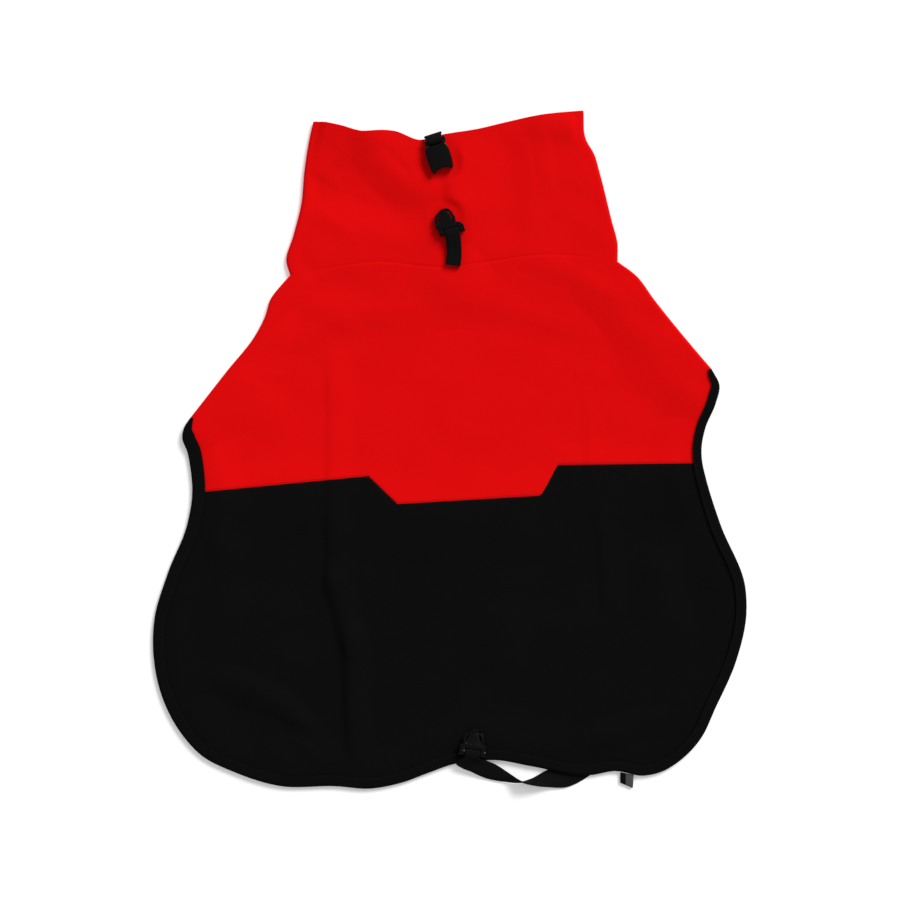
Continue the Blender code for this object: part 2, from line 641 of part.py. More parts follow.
def socket(name, pivot, lean):
    """The female half: a hollow body with side windows and a dished mouth."""
    half = SOCKET_THICKNESS / 2
    right_side = [(x, y) for y, x in SOCKET_PROFILE]
    outline = [*right_side, *SOCKET_MOUTH, *((-x, y) for x, y in right_side[::-1])]
    shape = prism(outline, -half, half)
    rims = [edge for edge in shape.edges if abs(edge.verts[0].co.z - edge.verts[1].co.z) < WELD]
    bmesh.ops.bevel(
        shape, geom=rims, offset=SOCKET_ROUNDING * MM, offset_type="OFFSET", segments=2,
        profile=0.5, affect="EDGES", material=-1,
    )
    piece = solid(name, shape, pivot, lean, 0.0)
    widest, longest = max(x for x, _ in right_side), max(y for _, y in right_side)
    cavity = block(
        (-SOCKET_MOUTH_HALF, SOCKET_BACK_WALL, -SOCKET_CAVITY / 2),
        (SOCKET_MOUTH_HALF, longest + JOIN, SOCKET_CAVITY / 2),
    )
    tool(f"{name}_cavity", cavity, piece, "DIFFERENCE")
    windows = block(
        (-widest - JOIN, WINDOW_NEAR, -WINDOW_HEIGHT / 2),
        (widest + JOIN, WINDOW_FAR, WINDOW_HEIGHT / 2),
    )
    tool(f"{name}_windows", windows, piece, "DIFFERENCE")
    web_end(piece, right_side[0][0])


def frame(pivot, lean):
    """Middle, prong way and width way of a web bar, in the plan."""
    turn = math.radians(lean)
    ahead = np.array([-math.sin(turn), math.cos(turn)])
    return np.array(pivot), ahead, np.array([math.cos(turn), math.sin(turn)])


def resting(points):
    """The highest cloth under some points of the plan."""
    return float(surface(np.array(points, float)).max())


def ribbon(name, left, right):
    """Webbing between two edges that run side by side."""
    grid = np.stack([np.array(left, float), np.array(right, float)], 1)
    strip(name, grid, BLACK_WEBBING, WEBBING, 0.0)


def level(middle, ahead, aside, path, axis):
    """Both edges of webbing that keeps level: its path is back from a bar, and up."""
    edges = []
    for side in (-1, 1):
        line = middle + aside * side * WEBBING_WIDTH / 2
        edges.append([(*(line - ahead * back), axis + up) for back, up in path])
    return edges


def round_bar(first, last, steps):
    """Offsets (back, up) from a bar's middle along the webbing's turn round it."""
    turns = [math.radians(first + (last - first) * i / steps) for i in range(steps + 1)]
    return [(-LOOP_RADIUS * math.cos(a), LOOP_RADIUS * math.sin(a)) for a in turns]


# The neck tab is doubled webbing sewn into the neck seam, looped round the plug's bar.
middle, ahead, aside = frame(NECK_BAR, NECK_LEAN)
foot = np.array(NECK_TAB_FOOT)
bend = middle - ahead * np.linalg.norm(middle - foot) / 2
tab_length = np.linalg.norm(middle - foot)
lie = resting([middle + aside * x + ahead * y for x in (-9, 0, 9) for y in range(-22, 20, 3)])
neck_axis = lie + SEAM_GAP + LOOP_RADIUS + WEBBING / 2


def neck_tab_point(back, up, side):
    """A point of the tab: back along its curve from the bar, up from the bar's axis."""
    if back <= 0:
        centre, across_way = middle - ahead * back, aside
    else:
        t = back / tab_length
        centre = (1 - t) ** 2 * middle + 2 * t * (1 - t) * bend + t**2 * foot
        heading = (1 - t) * (bend - middle) + t * (foot - bend)
        heading = heading / np.linalg.norm(heading)
        across_way = np.array([-heading[1], heading[0]])
    spot = centre + across_way * side * WEBBING_WIDTH / 2
    return (*spot, neck_axis + up)


path = [(tab_length * t, LOWER) for t in (1.0, 0.66, 0.33)]
path += [*round_bar(-90, 90, 6), *NECK_TAB_RETURN, (tab_length, UPPER)]
ribbon(
    "neck_tab",
    *[[neck_tab_point(back, up, side) for back, up in path] for side in (-1, 1)],
)
plug("neck_plug", (*NECK_BAR, neck_axis), NECK_LEAN, NECK_TILT)

# The collar tab comes out of the collar, over its top edge, and round the socket's bar.
middle, ahead, aside = frame(COLLAR_BAR, COLLAR_LEAN)
lie = resting([middle + aside * x + ahead * y for x in (-9, -3, 3, 9) for y in range(-2, 22, 3)])
collar_axis = lie + SEAM_GAP + SOCKET_THICKNESS / 2
inside = CLOTH + SEAM_GAP + WEBBING / 2 - collar_axis
path = [(-6.0, inside), (0.0, inside), (2.8, inside), (4.1, inside + 0.5)]
path += [(4.6, (inside + LOWER) / 2), (4.5, LOWER - 0.2)]
path += [*round_bar(135, -90, 8), (2.4, LOWER)]
ribbon("collar_tab", *level(middle, ahead, aside, path, collar_axis))
socket("buckle_socket", (*COLLAR_BAR, collar_axis), COLLAR_LEAN)

# The tail strap goes round the hem plug's bar, over the hem, turns over once, and
# comes back to the hem, where it is sewn in.
middle, ahead, aside = frame(HEM_BAR, HEM_LEAN)
lie = resting([middle + aside * x - ahead * y for x in (-6, 0, 6) for y in (0, 2, 4)])
hem_lie = lie + SEAM_GAP + BINDING_WALL
hem_axis = hem_lie + SEAM_GAP + LOOP_RADIUS + WEBBING / 2
path = [(TAIL_STRAP_END, LOWER), (TAIL_STRAP_END / 2, LOWER)]
path += [*round_bar(-90, 90, 6), (3.0, 1.5)]
edges = []
for turn, half_row in zip(
    level(middle, ahead, aside, path, hem_axis), (slice(0, 3), slice(3, 6))
):
    led = smooth([turn[-1], *(row[half_row] for row in TAIL_STRAP)], 4)
    edges.append([*turn[:-1], *led])
ribbon("tail_strap", *edges)
plug("hem_plug", (*HEM_BAR, hem_axis), HEM_LEAN, HEM_TILT)

# The hem tab is a short loop of webbing, folded once, with both ends in the hem.
low, high = WEBBING / 2, WEBBING / 2 + WEBBING + SEAM_GAP
fold = (high - low) / 2
edges = []
for head, tip in zip((HEM_TAB_LEFT, HEM_TAB_RIGHT), HEM_TAB_TIPS):
    head, tip = np.array(head), np.array(tip)
    way = (tip - head) / np.linalg.norm(tip - head)
    bend = tip - way * fold
    turns = [math.radians(a) for a in (90, 45, 0, -45, -90)]
    edges.append(
        [
            (*head, high),
            *((*(bend + way * fold * math.cos(a)), low + fold + fold * math.sin(a)) for a in turns),
            (*head, low),
        ]
    )
ribbon("hem_tab", *edges)
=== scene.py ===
"""A dog raincoat laid flat with its back up, seen from straight above."""

import math

import bmesh
import bpy
import numpy as np
from mathutils import Matrix, Vector


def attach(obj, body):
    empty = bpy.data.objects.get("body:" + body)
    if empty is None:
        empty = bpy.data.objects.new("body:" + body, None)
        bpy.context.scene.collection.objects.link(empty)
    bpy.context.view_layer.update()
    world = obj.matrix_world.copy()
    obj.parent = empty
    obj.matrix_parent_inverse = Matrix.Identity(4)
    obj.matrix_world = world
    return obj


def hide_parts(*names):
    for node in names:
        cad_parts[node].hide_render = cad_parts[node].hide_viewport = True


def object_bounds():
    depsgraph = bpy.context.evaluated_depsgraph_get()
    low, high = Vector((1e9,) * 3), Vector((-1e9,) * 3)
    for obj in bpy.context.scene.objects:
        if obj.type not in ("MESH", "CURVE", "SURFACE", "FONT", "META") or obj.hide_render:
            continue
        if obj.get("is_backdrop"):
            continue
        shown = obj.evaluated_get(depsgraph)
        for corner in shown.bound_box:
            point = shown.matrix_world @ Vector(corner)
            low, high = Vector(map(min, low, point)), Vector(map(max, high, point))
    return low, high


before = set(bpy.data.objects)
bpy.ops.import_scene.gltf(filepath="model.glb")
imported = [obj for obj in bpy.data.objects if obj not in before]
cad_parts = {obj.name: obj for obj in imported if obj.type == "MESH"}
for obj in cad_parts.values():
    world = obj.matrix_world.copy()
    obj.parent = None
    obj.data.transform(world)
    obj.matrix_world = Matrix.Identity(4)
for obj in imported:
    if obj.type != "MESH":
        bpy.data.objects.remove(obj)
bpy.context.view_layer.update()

MM = 0.001


# ------------------------------------------------------------ table, light, camera
# A pale matt table under one broad lamp from the upper right and an even white room,
# with the camera straight over the coat, far off, as for a catalogue.
VIEW_CENTRE, VIEW_WIDTH, CAMERA_HEIGHT = (0.00008, -0.00013), 0.6, 3.0
SENSOR = 36.0
LAMP_BEARING, LAMP_HEIGHT = 52.0, 36.0  # degrees from +X, and above the table
LAMP_STRENGTH, LAMP_ANGLE = 2.94, 30.0
ROOM_STRENGTH = 0.45
TABLE_REACH, TABLE_DROP = 4.0, 0.0002  # out from its middle, and below the coat
TABLE_GLOW = 0.22  # the table is lit from below too, which thins the shadows on it

bpy.context.scene.view_settings.view_transform = "Standard"
camera = bpy.data.objects.new("camera", bpy.data.cameras.new("camera"))
bpy.context.scene.collection.objects.link(camera)
camera.data.sensor_width = SENSOR
camera.data.lens = SENSOR * CAMERA_HEIGHT / VIEW_WIDTH
camera.location = (*VIEW_CENTRE, CAMERA_HEIGHT)
bpy.context.scene.camera = camera

lamp = bpy.data.objects.new("lamp", bpy.data.lights.new("lamp", "SUN"))
bpy.context.scene.collection.objects.link(lamp)
lamp.data.energy = LAMP_STRENGTH
lamp.data.angle = math.radians(LAMP_ANGLE)
bearing, rise = math.radians(LAMP_BEARING), math.radians(LAMP_HEIGHT)
towards = Vector(
    (math.cos(bearing) * math.cos(rise), math.sin(bearing) * math.cos(rise), math.sin(rise))
)
lamp.rotation_euler = towards.to_track_quat("Z", "Y").to_euler()

room = bpy.data.worlds.new("room")
room.use_nodes = True
room.node_tree.nodes["Background"].inputs["Color"].default_value = (1, 1, 1, 1)
room.node_tree.nodes["Background"].inputs["Strength"].default_value = ROOM_STRENGTH
bpy.context.scene.world = room


class Shade:
    """A shader socket. Sums on it add Math nodes, and make adds any other node."""

    def __init__(self, tree, socket=None):
        self.tree, self.socket = tree, socket

    def make(self, kind, settings, inputs, output=0):
        made = self.tree.nodes.new("ShaderNode" + kind)
        for name, value in settings.items():
            setattr(made, name, value)
        for name, value in inputs.items():
            if isinstance(value, Shade):
                self.tree.links.new(value.socket, made.inputs[name])
            else:
                made.inputs[name].default_value = value
        return Shade(self.tree, made.outputs[output])

    def maths(self, operation, *values):
        return self.make("Math", {"operation": operation}, dict(enumerate(values)))

    def __add__(self, other):
        return self.maths("ADD", self, other)

    def __mul__(self, other):
        return self.maths("MULTIPLY", self, other)

    __radd__, __rmul__ = __add__, __mul__

    def noise(self, place, scale, detail=2.0):
        """Soft noise from 0 to 1 over a place, scale waves to the metre."""
        return self.make("TexNoise", {}, {"Vector": place, "Scale": scale, "Detail": detail})

    def tint(self, share, dark, light):
        """A colour between two, by a share from 0 to 1."""
        return self.make(
            "Mix", {"data_type": "RGBA"}, {0: share, 6: (*dark, 1.0), 7: (*light, 1.0)}, 2
        )

    def bump(self, height, strength, depth):
        """A normal from a height from 0 to 1, with the depth that it stands for."""
        return self.make(
            "Bump", {}, {"Height": height, "Strength": strength, "Distance": depth}
        )


def new_finish(name, specular):
    """A material's start: its shader's node and a Shade to build with."""
    material = bpy.data.materials.new(name)
    material.use_nodes = True
    shader = material.node_tree.nodes["Principled BSDF"]
    shader.inputs["Specular IOR Level"].default_value = specular
    return material, shader, Shade(material.node_tree)


def wear(material, shader, **looks):
    """Links what varies over a finish to its shader."""
    for name, value in looks.items():
        socket = shader.inputs[name.replace("_", " ").title()]
        material.node_tree.links.new(value.socket, socket)
    return material


finish, shader, shade = new_finish("pale_table", 0.2)
shader.inputs["Emission Color"].default_value = (1, 1, 1, 1)
shader.inputs["Emission Strength"].default_value = TABLE_GLOW
place = shade.make("TexCoord", {}, {}, "Object")
grain = shade.noise(place, 260.0, 3.0)
table_finish = wear(
    finish, shader,
    base_color=shade.tint(grain, (0.95, 0.95, 0.95), (0.98, 0.98, 0.98)),
    roughness=grain * 0.1 + 0.75,
)
shape = bmesh.new()
bmesh.ops.create_grid(shape, x_segments=1, y_segments=1, size=TABLE_REACH)
bmesh.ops.translate(shape, verts=shape.verts, vec=(0, 0, -TABLE_DROP))
mesh = bpy.data.meshes.new("table_top")
shape.to_mesh(mesh)
shape.free()
mesh.materials.append(table_finish)
table_top = bpy.data.objects.new("table_top", mesh)
bpy.context.scene.collection.objects.link(table_top)
table_top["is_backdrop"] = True


# ------------------------------------------------------------------------ back yoke
# The upper back, cut from red coated softshell and folded under at both shoulders. It
# is sewn to the collar at the neck and to the rear panel at a stepped seam.
CLOTH = 1.2  # its wall; sizes are in mm from here on
SEAM_GAP = 0.3  # between layers that lie on one another
SEAM_LAP = 0.3  # the panels' edges meet in the seam and just overlap
SEAM_ROLL = 0.9  # how far from the seam their edges roll down
SEAM_ROLL_ROWS = (0.35, 0.8, 1.4)  # extra rows of points beside a seam, for the roll
# How deep each seam draws the cloth down, and how far in from its ends it is full.
NECK_DIP, NECK_DIP_REACH = 0.24, 60.0
SEAM_DIP, SEAM_DIP_REACH = 0.45, 10.0
FOLD_HEIGHT, FOLD_REACH = 4.0, 2.5  # of a side fold, up from the table and inwards
FOLD_TURNS = range(-90, 90, 15)  # degrees round a side fold, from its underside
TURN_UNDER, UNDER_STEPS = 7.0, 4  # what is turned in beneath, and its columns of points
EDGE_INSET = 2.0  # the panels' raw edges lie this far inside the bound edge
BINDING_LIFT = 1.3  # the binding's lower leg holds the cloth up by this
# Distances up to which a lift or a clearance is full, and at which it is gone.
CHEST_EASE, CHEST_SWELL_EASE = (2.0, 24.0), (-45.0, -10.0)  # below the chest's edge
FOLD_EASE, RIGHT_FOLD_EASE = (9.0, 36.0), (18.0, 54.0)  # the right fold is the fuller
EDGE_EASE = (11.0, 38.0)
TAB_SWELL_EASE = (9.0, 34.0)  # round the neck tab's foot
FOLDS_FROM_FOLD, FOLDS_FROM_EDGE = (2.5, 9.5), (10.0, 22.0)
SEAM_SWELL = 1.3  # the cloth rises over the turnings of the stepped seam
SWELL_ABOVE, SWELL_CREST, SWELL_BELOW = 24.0, -12.0, -52.0  # up from the seam
# The lift over the chest panel's edge as a share of a side fold's. Columns: x, share.
CHEST_SWELL = ((-166.0, 0.54), (35.0, 0.5), (95.0, 0.28), (167.0, 0.28))
# Outlines of the coat as it lies. Columns: x, y.
NECK_SEAM = (
    (-106.3, 116.2), (-79.7, 121.5), (-52.3, 125.2), (-3.7, 121.9), (25.0, 125.2),
    (59.7, 129.9), (87.0, 129.2), (111.7, 125.3),
)
LEFT_FOLD = (
    (-106.3, 116.35), (-111.7, 110.5), (-119.7, 99.9), (-123.0, 89.2), (-128.3, 78.5),
    (-149.0, 51.9), (-173.0, 21.2),
)
RIGHT_FOLD = (
    (111.7, 125.45), (124.3, 115.9), (136.3, 99.9), (162.3, 67.9), (174.3, 53.9),
)
COLLAR_LEFT = (
    (-106.3, 116.05), (-109.0, 125.2), (-104.3, 142.5), (-99.0, 163.9),
    (-97.0, 185.2), (-93.7, 206.5), (-91.0, 218.5),
)
COLLAR_RIGHT = (
    (111.7, 125.15), (111.7, 137.2), (107.7, 153.2), (99.7, 185.2), (96.4, 196.5),
    (90.6, 207.0), (89.0, 225.9),
)
BOUND_EDGE = (
    (-173.0, 21.2), (-177.2, 14.5), (-178.3, 8.0), (-175.0, -1.5), (-173.0, -12.0),
    (-171.7, -27.9), (-175.0, -49.5), (-187.7, -81.5), (-197.0, -113.5),
    (-197.7, -134.8), (-191.0, -166.8), (-179.7, -188.1), (-165.0, -204.1),
    (-143.7, -214.8), (-113.0, -224.1), (-76.3, -224.2), (-53.0, -225.8),
    (-33.0, -222.1), (-13.0, -214.8), (2.0, -209.6), (16.0, -207.5), (30.3, -206.8),
    (53.7, -210.8), (93.7, -216.8), (110.3, -214.1), (129.0, -217.2),
    (140.3, -214.8), (153.7, -206.8), (167.0, -192.8), (177.0, -172.1),
    (191.0, -140.1), (197.7, -108.1), (197.0, -92.1), (180.3, -49.5), (170.3, -17.5),
    (168.3, -8.6), (167.7, -1.5), (170.3, 14.5), (177.0, 30.5), (179.6, 43.0),
    (174.3, 53.9),
)
CHEST_EDGE = (
    (-166.0, 21.6), (-133.0, 56.5), (-100.0, 81.0), (-63.0, 94.5), (-13.0, 101.0),
    (34.0, 100.0), (74.0, 88.0), (127.0, 69.5), (167.0, 53.4),
)
# Columns x, y, and how many grid columns run on to the next corner.
CONTRAST_SEAM = (
    (-171.7, -27.9, 72), (-54.3, -17.5, 18), (-35.0, -36.1, 60), (61.0, -30.5, 18),
    (71.7, -10.1, 60), (168.3, -8.6, 0),
)
# The soft line that the swell follows, clear of the seam's corners.
SWELL_LINE = (
    (-171.7, -27.9), (-120.0, -23.5), (-70.0, -21.0), (-25.0, -33.0), (20.0, -34.0),
    (52.0, -28.0), (85.0, -13.0), (125.0, -9.0), (168.3, -8.6),
)
# Folds, each a soft ridge or trough. Columns: start x, y, end x, y, sideways bow, half
# width on its left as it runs, half width on its right, height.
FOLDS = (
    (-52.0, 224.0, -12.0, 164.0, -8.0, 30.0, 23.0, 1.7),
    (-104.0, 177.0, -13.0, 150.0, 6.0, 24.0, 24.0, -1.3),
    (-110.0, 236.0, -40.0, 231.0, 0.0, 20.0, 50.0, 3.8),
    (-95.0, 190.0, -72.0, 174.0, 0.0, 10.0, 5.0, 0.5),
    (4.0, 208.0, 6.0, 146.0, 0.0, 34.0, 14.0, 1.0),
    (0.5, 196.0, 2.0, 157.0, 0.0, 16.0, 7.0, 1.0),
    (-88.0, 207.0, -58.0, 184.0, 0.0, 5.0, 9.0, -0.2),
    (-92.0, 166.0, -58.0, 138.0, -2.0, 7.0, 10.0, 0.25),
    (-46.0, 202.0, -24.0, 178.0, 2.0, 4.0, 6.0, -0.3),
    (38.0, 210.0, 38.0, 136.0, 2.0, 16.0, 30.0, -1.2),
    (60.0, 216.0, 66.0, 168.0, 2.0, 6.0, 12.0, 0.35),
    (50.0, 222.0, 97.0, 214.0, 0.0, 10.0, 16.0, 1.3),
    (30.0, 214.0, 42.0, 190.0, 1.0, 4.0, 6.0, -0.15),
    (51.0, 214.0, 58.0, 178.0, 1.0, 3.0, 4.0, -0.15),
    (66.0, 164.0, 96.0, 148.0, 3.0, 12.0, 12.0, 0.3),
    (-104.0, 142.0, -95.0, 118.0, 0.0, 8.0, 8.0, -0.3),
    (-84.0, 114.0, -44.0, 96.0, 3.0, 12.0, 13.0, -0.3),
    (-98.0, 98.0, -60.0, 76.0, 3.0, 12.0, 12.0, 0.4),
    (-24.5, 120.2, -39.4, 91.9, 1.0, 5.0, 5.0, -0.2),
    (-109.0, 107.0, -79.0, 117.0, 1.0, 5.0, 7.0, 0.2),
    (-162.0, 63.0, -106.0, 16.0, -6.0, 22.0, 26.0, 0.8),
    (-132.5, 51.0, -89.3, 50.6, -1.0, 5.0, 5.0, 0.12),
    (-118.0, 70.0, -104.0, 54.0, 1.0, 6.0, 6.0, -0.12),
    (-80.0, 66.0, -79.0, -50.0, 1.0, 18.0, 6.0, 0.85),
    (34.0, 121.0, 82.0, 102.0, -3.0, 6.0, 10.0, 0.2),
    (56.0, 126.0, 122.0, 92.0, 2.0, 12.0, 28.0, 0.55),
    (91.0, 40.0, 93.0, -30.0, 1.0, 12.0, 5.0, 0.4),
    (-79.0, -34.0, -80.0, -98.0, 1.0, 16.0, 6.0, 1.6),
    (-87.0, -48.0, -88.0, -96.0, 1.0, 4.0, 8.0, -0.7),
    (-82.0, -80.0, -66.0, -140.0, 1.0, 16.0, 8.0, 2.3),
    (-67.0, -118.0, -64.0, -208.0, -1.0, 16.0, 7.0, 2.5),
    (98.0, -38.0, 104.0, -114.0, 2.0, 14.0, 6.0, 1.0),
    (-168.0, -150.0, -84.0, -206.0, 14.0, 13.0, 16.0, 1.7),
    (-176.0, -178.0, -60.0, -216.0, 14.0, 8.0, 8.0, -0.7),
    (-150.0, -50.0, -160.0, -128.0, 6.0, 18.0, 20.0, 1.6),
    (138.0, -58.0, 160.0, -140.0, -8.0, 22.0, 22.0, 1.3),
    (84.0, -204.0, 152.0, -178.0, 6.0, 12.0, 14.0, 1.2),
    (22.0, -70.0, 34.0, -160.0, 4.0, 26.0, 26.0, 0.9),
)
# Shares of a fold's length: past each end, and over which it rises there.
FOLD_OVERRUN, FOLD_RUN_IN = 0.1, 0.35
# Long low waves of the whole cloth. Columns: waves to the metre along x and y, phase.
WAVES = ((17.0, 9.0, 0.4), (-11.0, 21.0, 1.9), (27.0, -14.0, 3.1), (8.0, 33.0, 4.4))
WAVE_HEIGHT = 0.08
NECK_TAB_FOOT = (2.1, 122.6)
# Where buckle halves and tabs lie. Columns: x, y, clear radius.
FITTINGS = (
    (-4.0, 153.8, 9.5), (1.8, 134.0, 9.0), (-8.0, 201.0, 9.5), (-5.5, 191.5, 9.5),
    (15.0, -193.0, 15.0),
)
FITTING_EASE = 6.0
POINTS_AT_ONCE = 4000
YOKE_ROWS, YOKE_SIDE = 72, 165.0  # rows of points beside a side fold, and its length
LEG_ROWS, LEG_SIDE = 45, 50.0  # the same beside the leg, down to the stepped seam
WING_SHARE = 12 / 21  # of the yoke's height, above the wing corners
SOFTSHELL_PITCH, CRINKLE_DEPTH = 0.00045, 0.00012  # metres
CRINKLES, CLOUDS = 420.0, 24.0  # waves to the metre


def smooth(points, steps=14):
    """Points along a soft line through the given ones."""
    knots = np.array(points, float)
    at = np.concatenate([[0], np.cumsum(np.linalg.norm(np.diff(knots, axis=0), axis=1))])
    slope = np.gradient(knots, at, axis=0)
    line = []
    for i in range(len(knots) - 1):
        span = at[i + 1] - at[i]
        for s in np.arange(steps) / steps:
            line.append(
                (2 * s**3 - 3 * s**2 + 1) * knots[i]
                + (s**3 - 2 * s**2 + s) * span * slope[i]
                + (3 * s**2 - 2 * s**3) * knots[i + 1]
                + (s**3 - s**2) * span * slope[i + 1]
            )
    return np.array([*line, knots[-1]])


def lengths(line):
    return np.concatenate([[0], np.cumsum(np.linalg.norm(np.diff(line, axis=0), axis=1))])


def along(line, fractions):
    """Points of a line at fractions of its length."""
    at = lengths(line)
    fractions = np.asarray(fractions) * at[-1]
    return np.stack([np.interp(fractions, at, line[:, k]) for k in range(line.shape[1])], -1)


def inset(line, distance):
    """A line moved to its left as it runs, with mitred corners."""
    way = np.diff(line, axis=0)
    way /= np.linalg.norm(way, axis=1)[:, None]
    side = np.stack([-way[:, 1], way[:, 0]], -1)
    before, after = np.vstack([side[:1], side]), np.vstack([side, side[-1:]])
    mean = before + after
    mean /= np.linalg.norm(mean, axis=1)[:, None]
    return line + mean * (distance / (mean * before).sum(1))[:, None]


def station(line, point):
    """How far along a line its nearest point to the given one is, from 0 to 1."""
    nearest = np.linalg.norm(line - np.array(point), axis=1).argmin()
    return lengths(line)[nearest] / lengths(line)[-1]


def distance(points, line):
    """Distance of many points of the plan from a line, worked out a slice at a time."""
    flat_points = points.reshape(-1, 2)
    away = [
        np.linalg.norm(part[:, None] - line[None], axis=2).min(axis=1)
        for part in np.array_split(flat_points, max(1, len(flat_points) // POINTS_AT_ONCE))
    ]
    return np.concatenate(away).reshape(points.shape[:-1])


def flat(points, height):
    return np.concatenate([points, np.full((*points.shape[:-1], 1), height)], -1)


def fade(x):
    x = np.clip(x, 0.0, 1.0)
    return x * x * (3 - 2 * x)


def near(away, ease):
    """1 up to the first distance, fading to 0 at the second."""
    first, last = ease
    return fade((last - away) / (last - first))


def patch(top, bottom, left, right, down):
    """A grid of rows that fills four border lines, with each row's share of the way down."""
    u = np.linspace(0, 1, len(top))[None, :, None]
    v = down[:, None, None]
    across = (1 - v) * top[None] + v * bottom[None]
    sides = (1 - u) * left[:, None] + u * right[:, None]
    corners = (1 - v) * ((1 - u) * top[0] + u * top[-1]) + v * (
        (1 - u) * bottom[0] + u * bottom[-1]
    )
    return across + sides - corners


neck_seam = smooth(NECK_SEAM)
left_fold, right_fold = smooth(LEFT_FOLD), smooth(RIGHT_FOLD)
collar_left, collar_right = smooth(COLLAR_LEFT), smooth(COLLAR_RIGHT)
bound_edge = smooth(BOUND_EDGE)
chest_edge = smooth(CHEST_EDGE)
side_folds = np.vstack([collar_left, left_fold, collar_right, right_fold])
bound = inset(bound_edge, EDGE_INSET)
left_seam = station(bound_edge, CONTRAST_SEAM[0][:2])
right_seam = station(bound_edge, CONTRAST_SEAM[-1][:2])
seam_corners = np.array([corner[:2] for corner in CONTRAST_SEAM])
seam_corners[[0, -1]] = along(bound, [left_seam, right_seam])
contrast = []
for i, (_, _, count) in enumerate(CONTRAST_SEAM[:-1]):
    for step in np.arange(count) / count:
        contrast.append((1 - step) * seam_corners[i] + step * seam_corners[i + 1])
contrast = np.array([*contrast, seam_corners[-1]])
swell_line = smooth(SWELL_LINE)


def relief(points):
    """Height of the folds and long waves, which die away under the fittings."""
    total = np.zeros(points.shape[:-1])
    for x0, y0, x1, y1, bow, left_width, right_width, height in FOLDS:
        start, run = np.array([x0, y0]), np.array([x1 - x0, y1 - y0])
        length = np.linalg.norm(run)
        run = run / length
        t = ((points - start) @ run) / length
        off = (points - start) @ np.array([-run[1], run[0]]) - 4 * bow * t * (1 - t)
        off = off / np.where(off > 0, left_width, right_width)
        ends = fade((t + FOLD_OVERRUN) / FOLD_RUN_IN)
        ends = ends * fade((1 + FOLD_OVERRUN - t) / FOLD_RUN_IN)
        total += height * ends * np.clip(1 - off**2, 0, 1) ** 2
    for along_x, along_y, phase in WAVES:
        total += WAVE_HEIGHT * np.sin(
            2 * math.pi * MM * (points[..., 0] * along_x + points[..., 1] * along_y) + phase
        )
    for x, y, radius in FITTINGS:
        away = np.linalg.norm(points - np.array([x, y]), axis=-1)
        total *= 1 - near(away, (radius, radius + FITTING_EASE))
    return total


def surface(points):
    """Height of the cloth's outer face above the table."""
    to_fold = distance(points, side_folds)
    to_edge = distance(points, bound_edge)
    below = np.interp(points[..., 0], chest_edge[:, 0], chest_edge[:, 1]) - points[..., 1]
    share = np.interp(points[..., 0], *np.array(CHEST_SWELL).T)
    swell = share + (1 - share) * np.maximum(
        near(below, CHEST_SWELL_EASE),
        near(np.linalg.norm(points - np.array(NECK_TAB_FOOT), axis=-1), TAB_SWELL_EASE),
    )
    doubled = np.maximum(near(below, CHEST_EASE) * swell, near(to_fold, FOLD_EASE))
    doubled = np.maximum(doubled, near(distance(points, right_fold), RIGHT_FOLD_EASE))
    bound_lift = BINDING_LIFT * near(to_edge, EDGE_EASE)
    lift = np.maximum((FOLD_HEIGHT - CLOTH) * doubled, bound_lift)
    lowest = np.maximum((CLOTH + SEAM_GAP) * doubled, bound_lift)
    clear = (1 - near(to_fold, FOLDS_FROM_FOLD)) * (1 - near(to_edge, FOLDS_FROM_EDGE))
    above = points[..., 1] - np.interp(points[..., 0], *swell_line.T)
    seam = np.where(
        above > SWELL_CREST,
        near(above, (SWELL_CREST, SWELL_ABOVE)), near(-above, (-SWELL_CREST, -SWELL_BELOW)),
    )
    return CLOTH + np.maximum(lift + (relief(points) + SEAM_SWELL * seam) * clear, lowest)


def raised(points, *seams):
    """Plan points with their height, rolled down along rows that end in a seam.

    Each seam is its row, how deep it draws the cloth down, and its reach from its ends.
    """
    height = surface(points)
    for row, dip, reach in seams:
        ends = np.minimum(
            distance(points[row], side_folds), distance(points[row], bound_edge)
        )
        away = np.linalg.norm(points - points[row][None], axis=-1)
        height = height - dip * fade(ends / reach) * np.exp(-((away / SEAM_ROLL) ** 2))
    return np.concatenate([points, height[..., None]], -1)


def lay_out(shape, grid):
    """Adds a grid of faces through rows of points and returns its vertices by place."""
    rows, columns = len(grid) - 1, len(grid[0]) - 1
    made = bmesh.ops.create_grid(shape, x_segments=columns, y_segments=rows, size=0.5)
    placed = {}
    for vert in made["verts"]:
        row, column = round((0.5 - vert.co.y) * rows), round((vert.co.x + 0.5) * columns)
        vert.co = Vector(grid[row][column]) * MM
        placed[row, column] = vert
    return placed


def piece(name, shape, finish, slot, body, *nodes):
    """Puts a finished shape in the scene on its body, in place of its CAD nodes."""
    mesh = bpy.data.meshes.new(name)
    shape.to_mesh(mesh)
    shape.free()
    mesh.shade_smooth()
    mesh.set_sharp_from_angle(angle=math.radians(50))
    mesh.materials.append(finish)
    made = bpy.data.objects.new(name, mesh)
    bpy.context.scene.collection.objects.link(made)
    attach(made, body)
    if nodes:
        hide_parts(*nodes)
    return made


def thickened(shape, through):
    """Gives a sheet its wall, each point's by its own way through."""
    inner = bmesh.ops.extrude_face_region(shape, geom=shape.faces[:], use_keep_orig=True)
    for item in inner["geom"]:
        if isinstance(item, bmesh.types.BMVert):
            item.co += item[through]
    bmesh.ops.recalc_face_normals(shape, faces=shape.faces)
    return shape


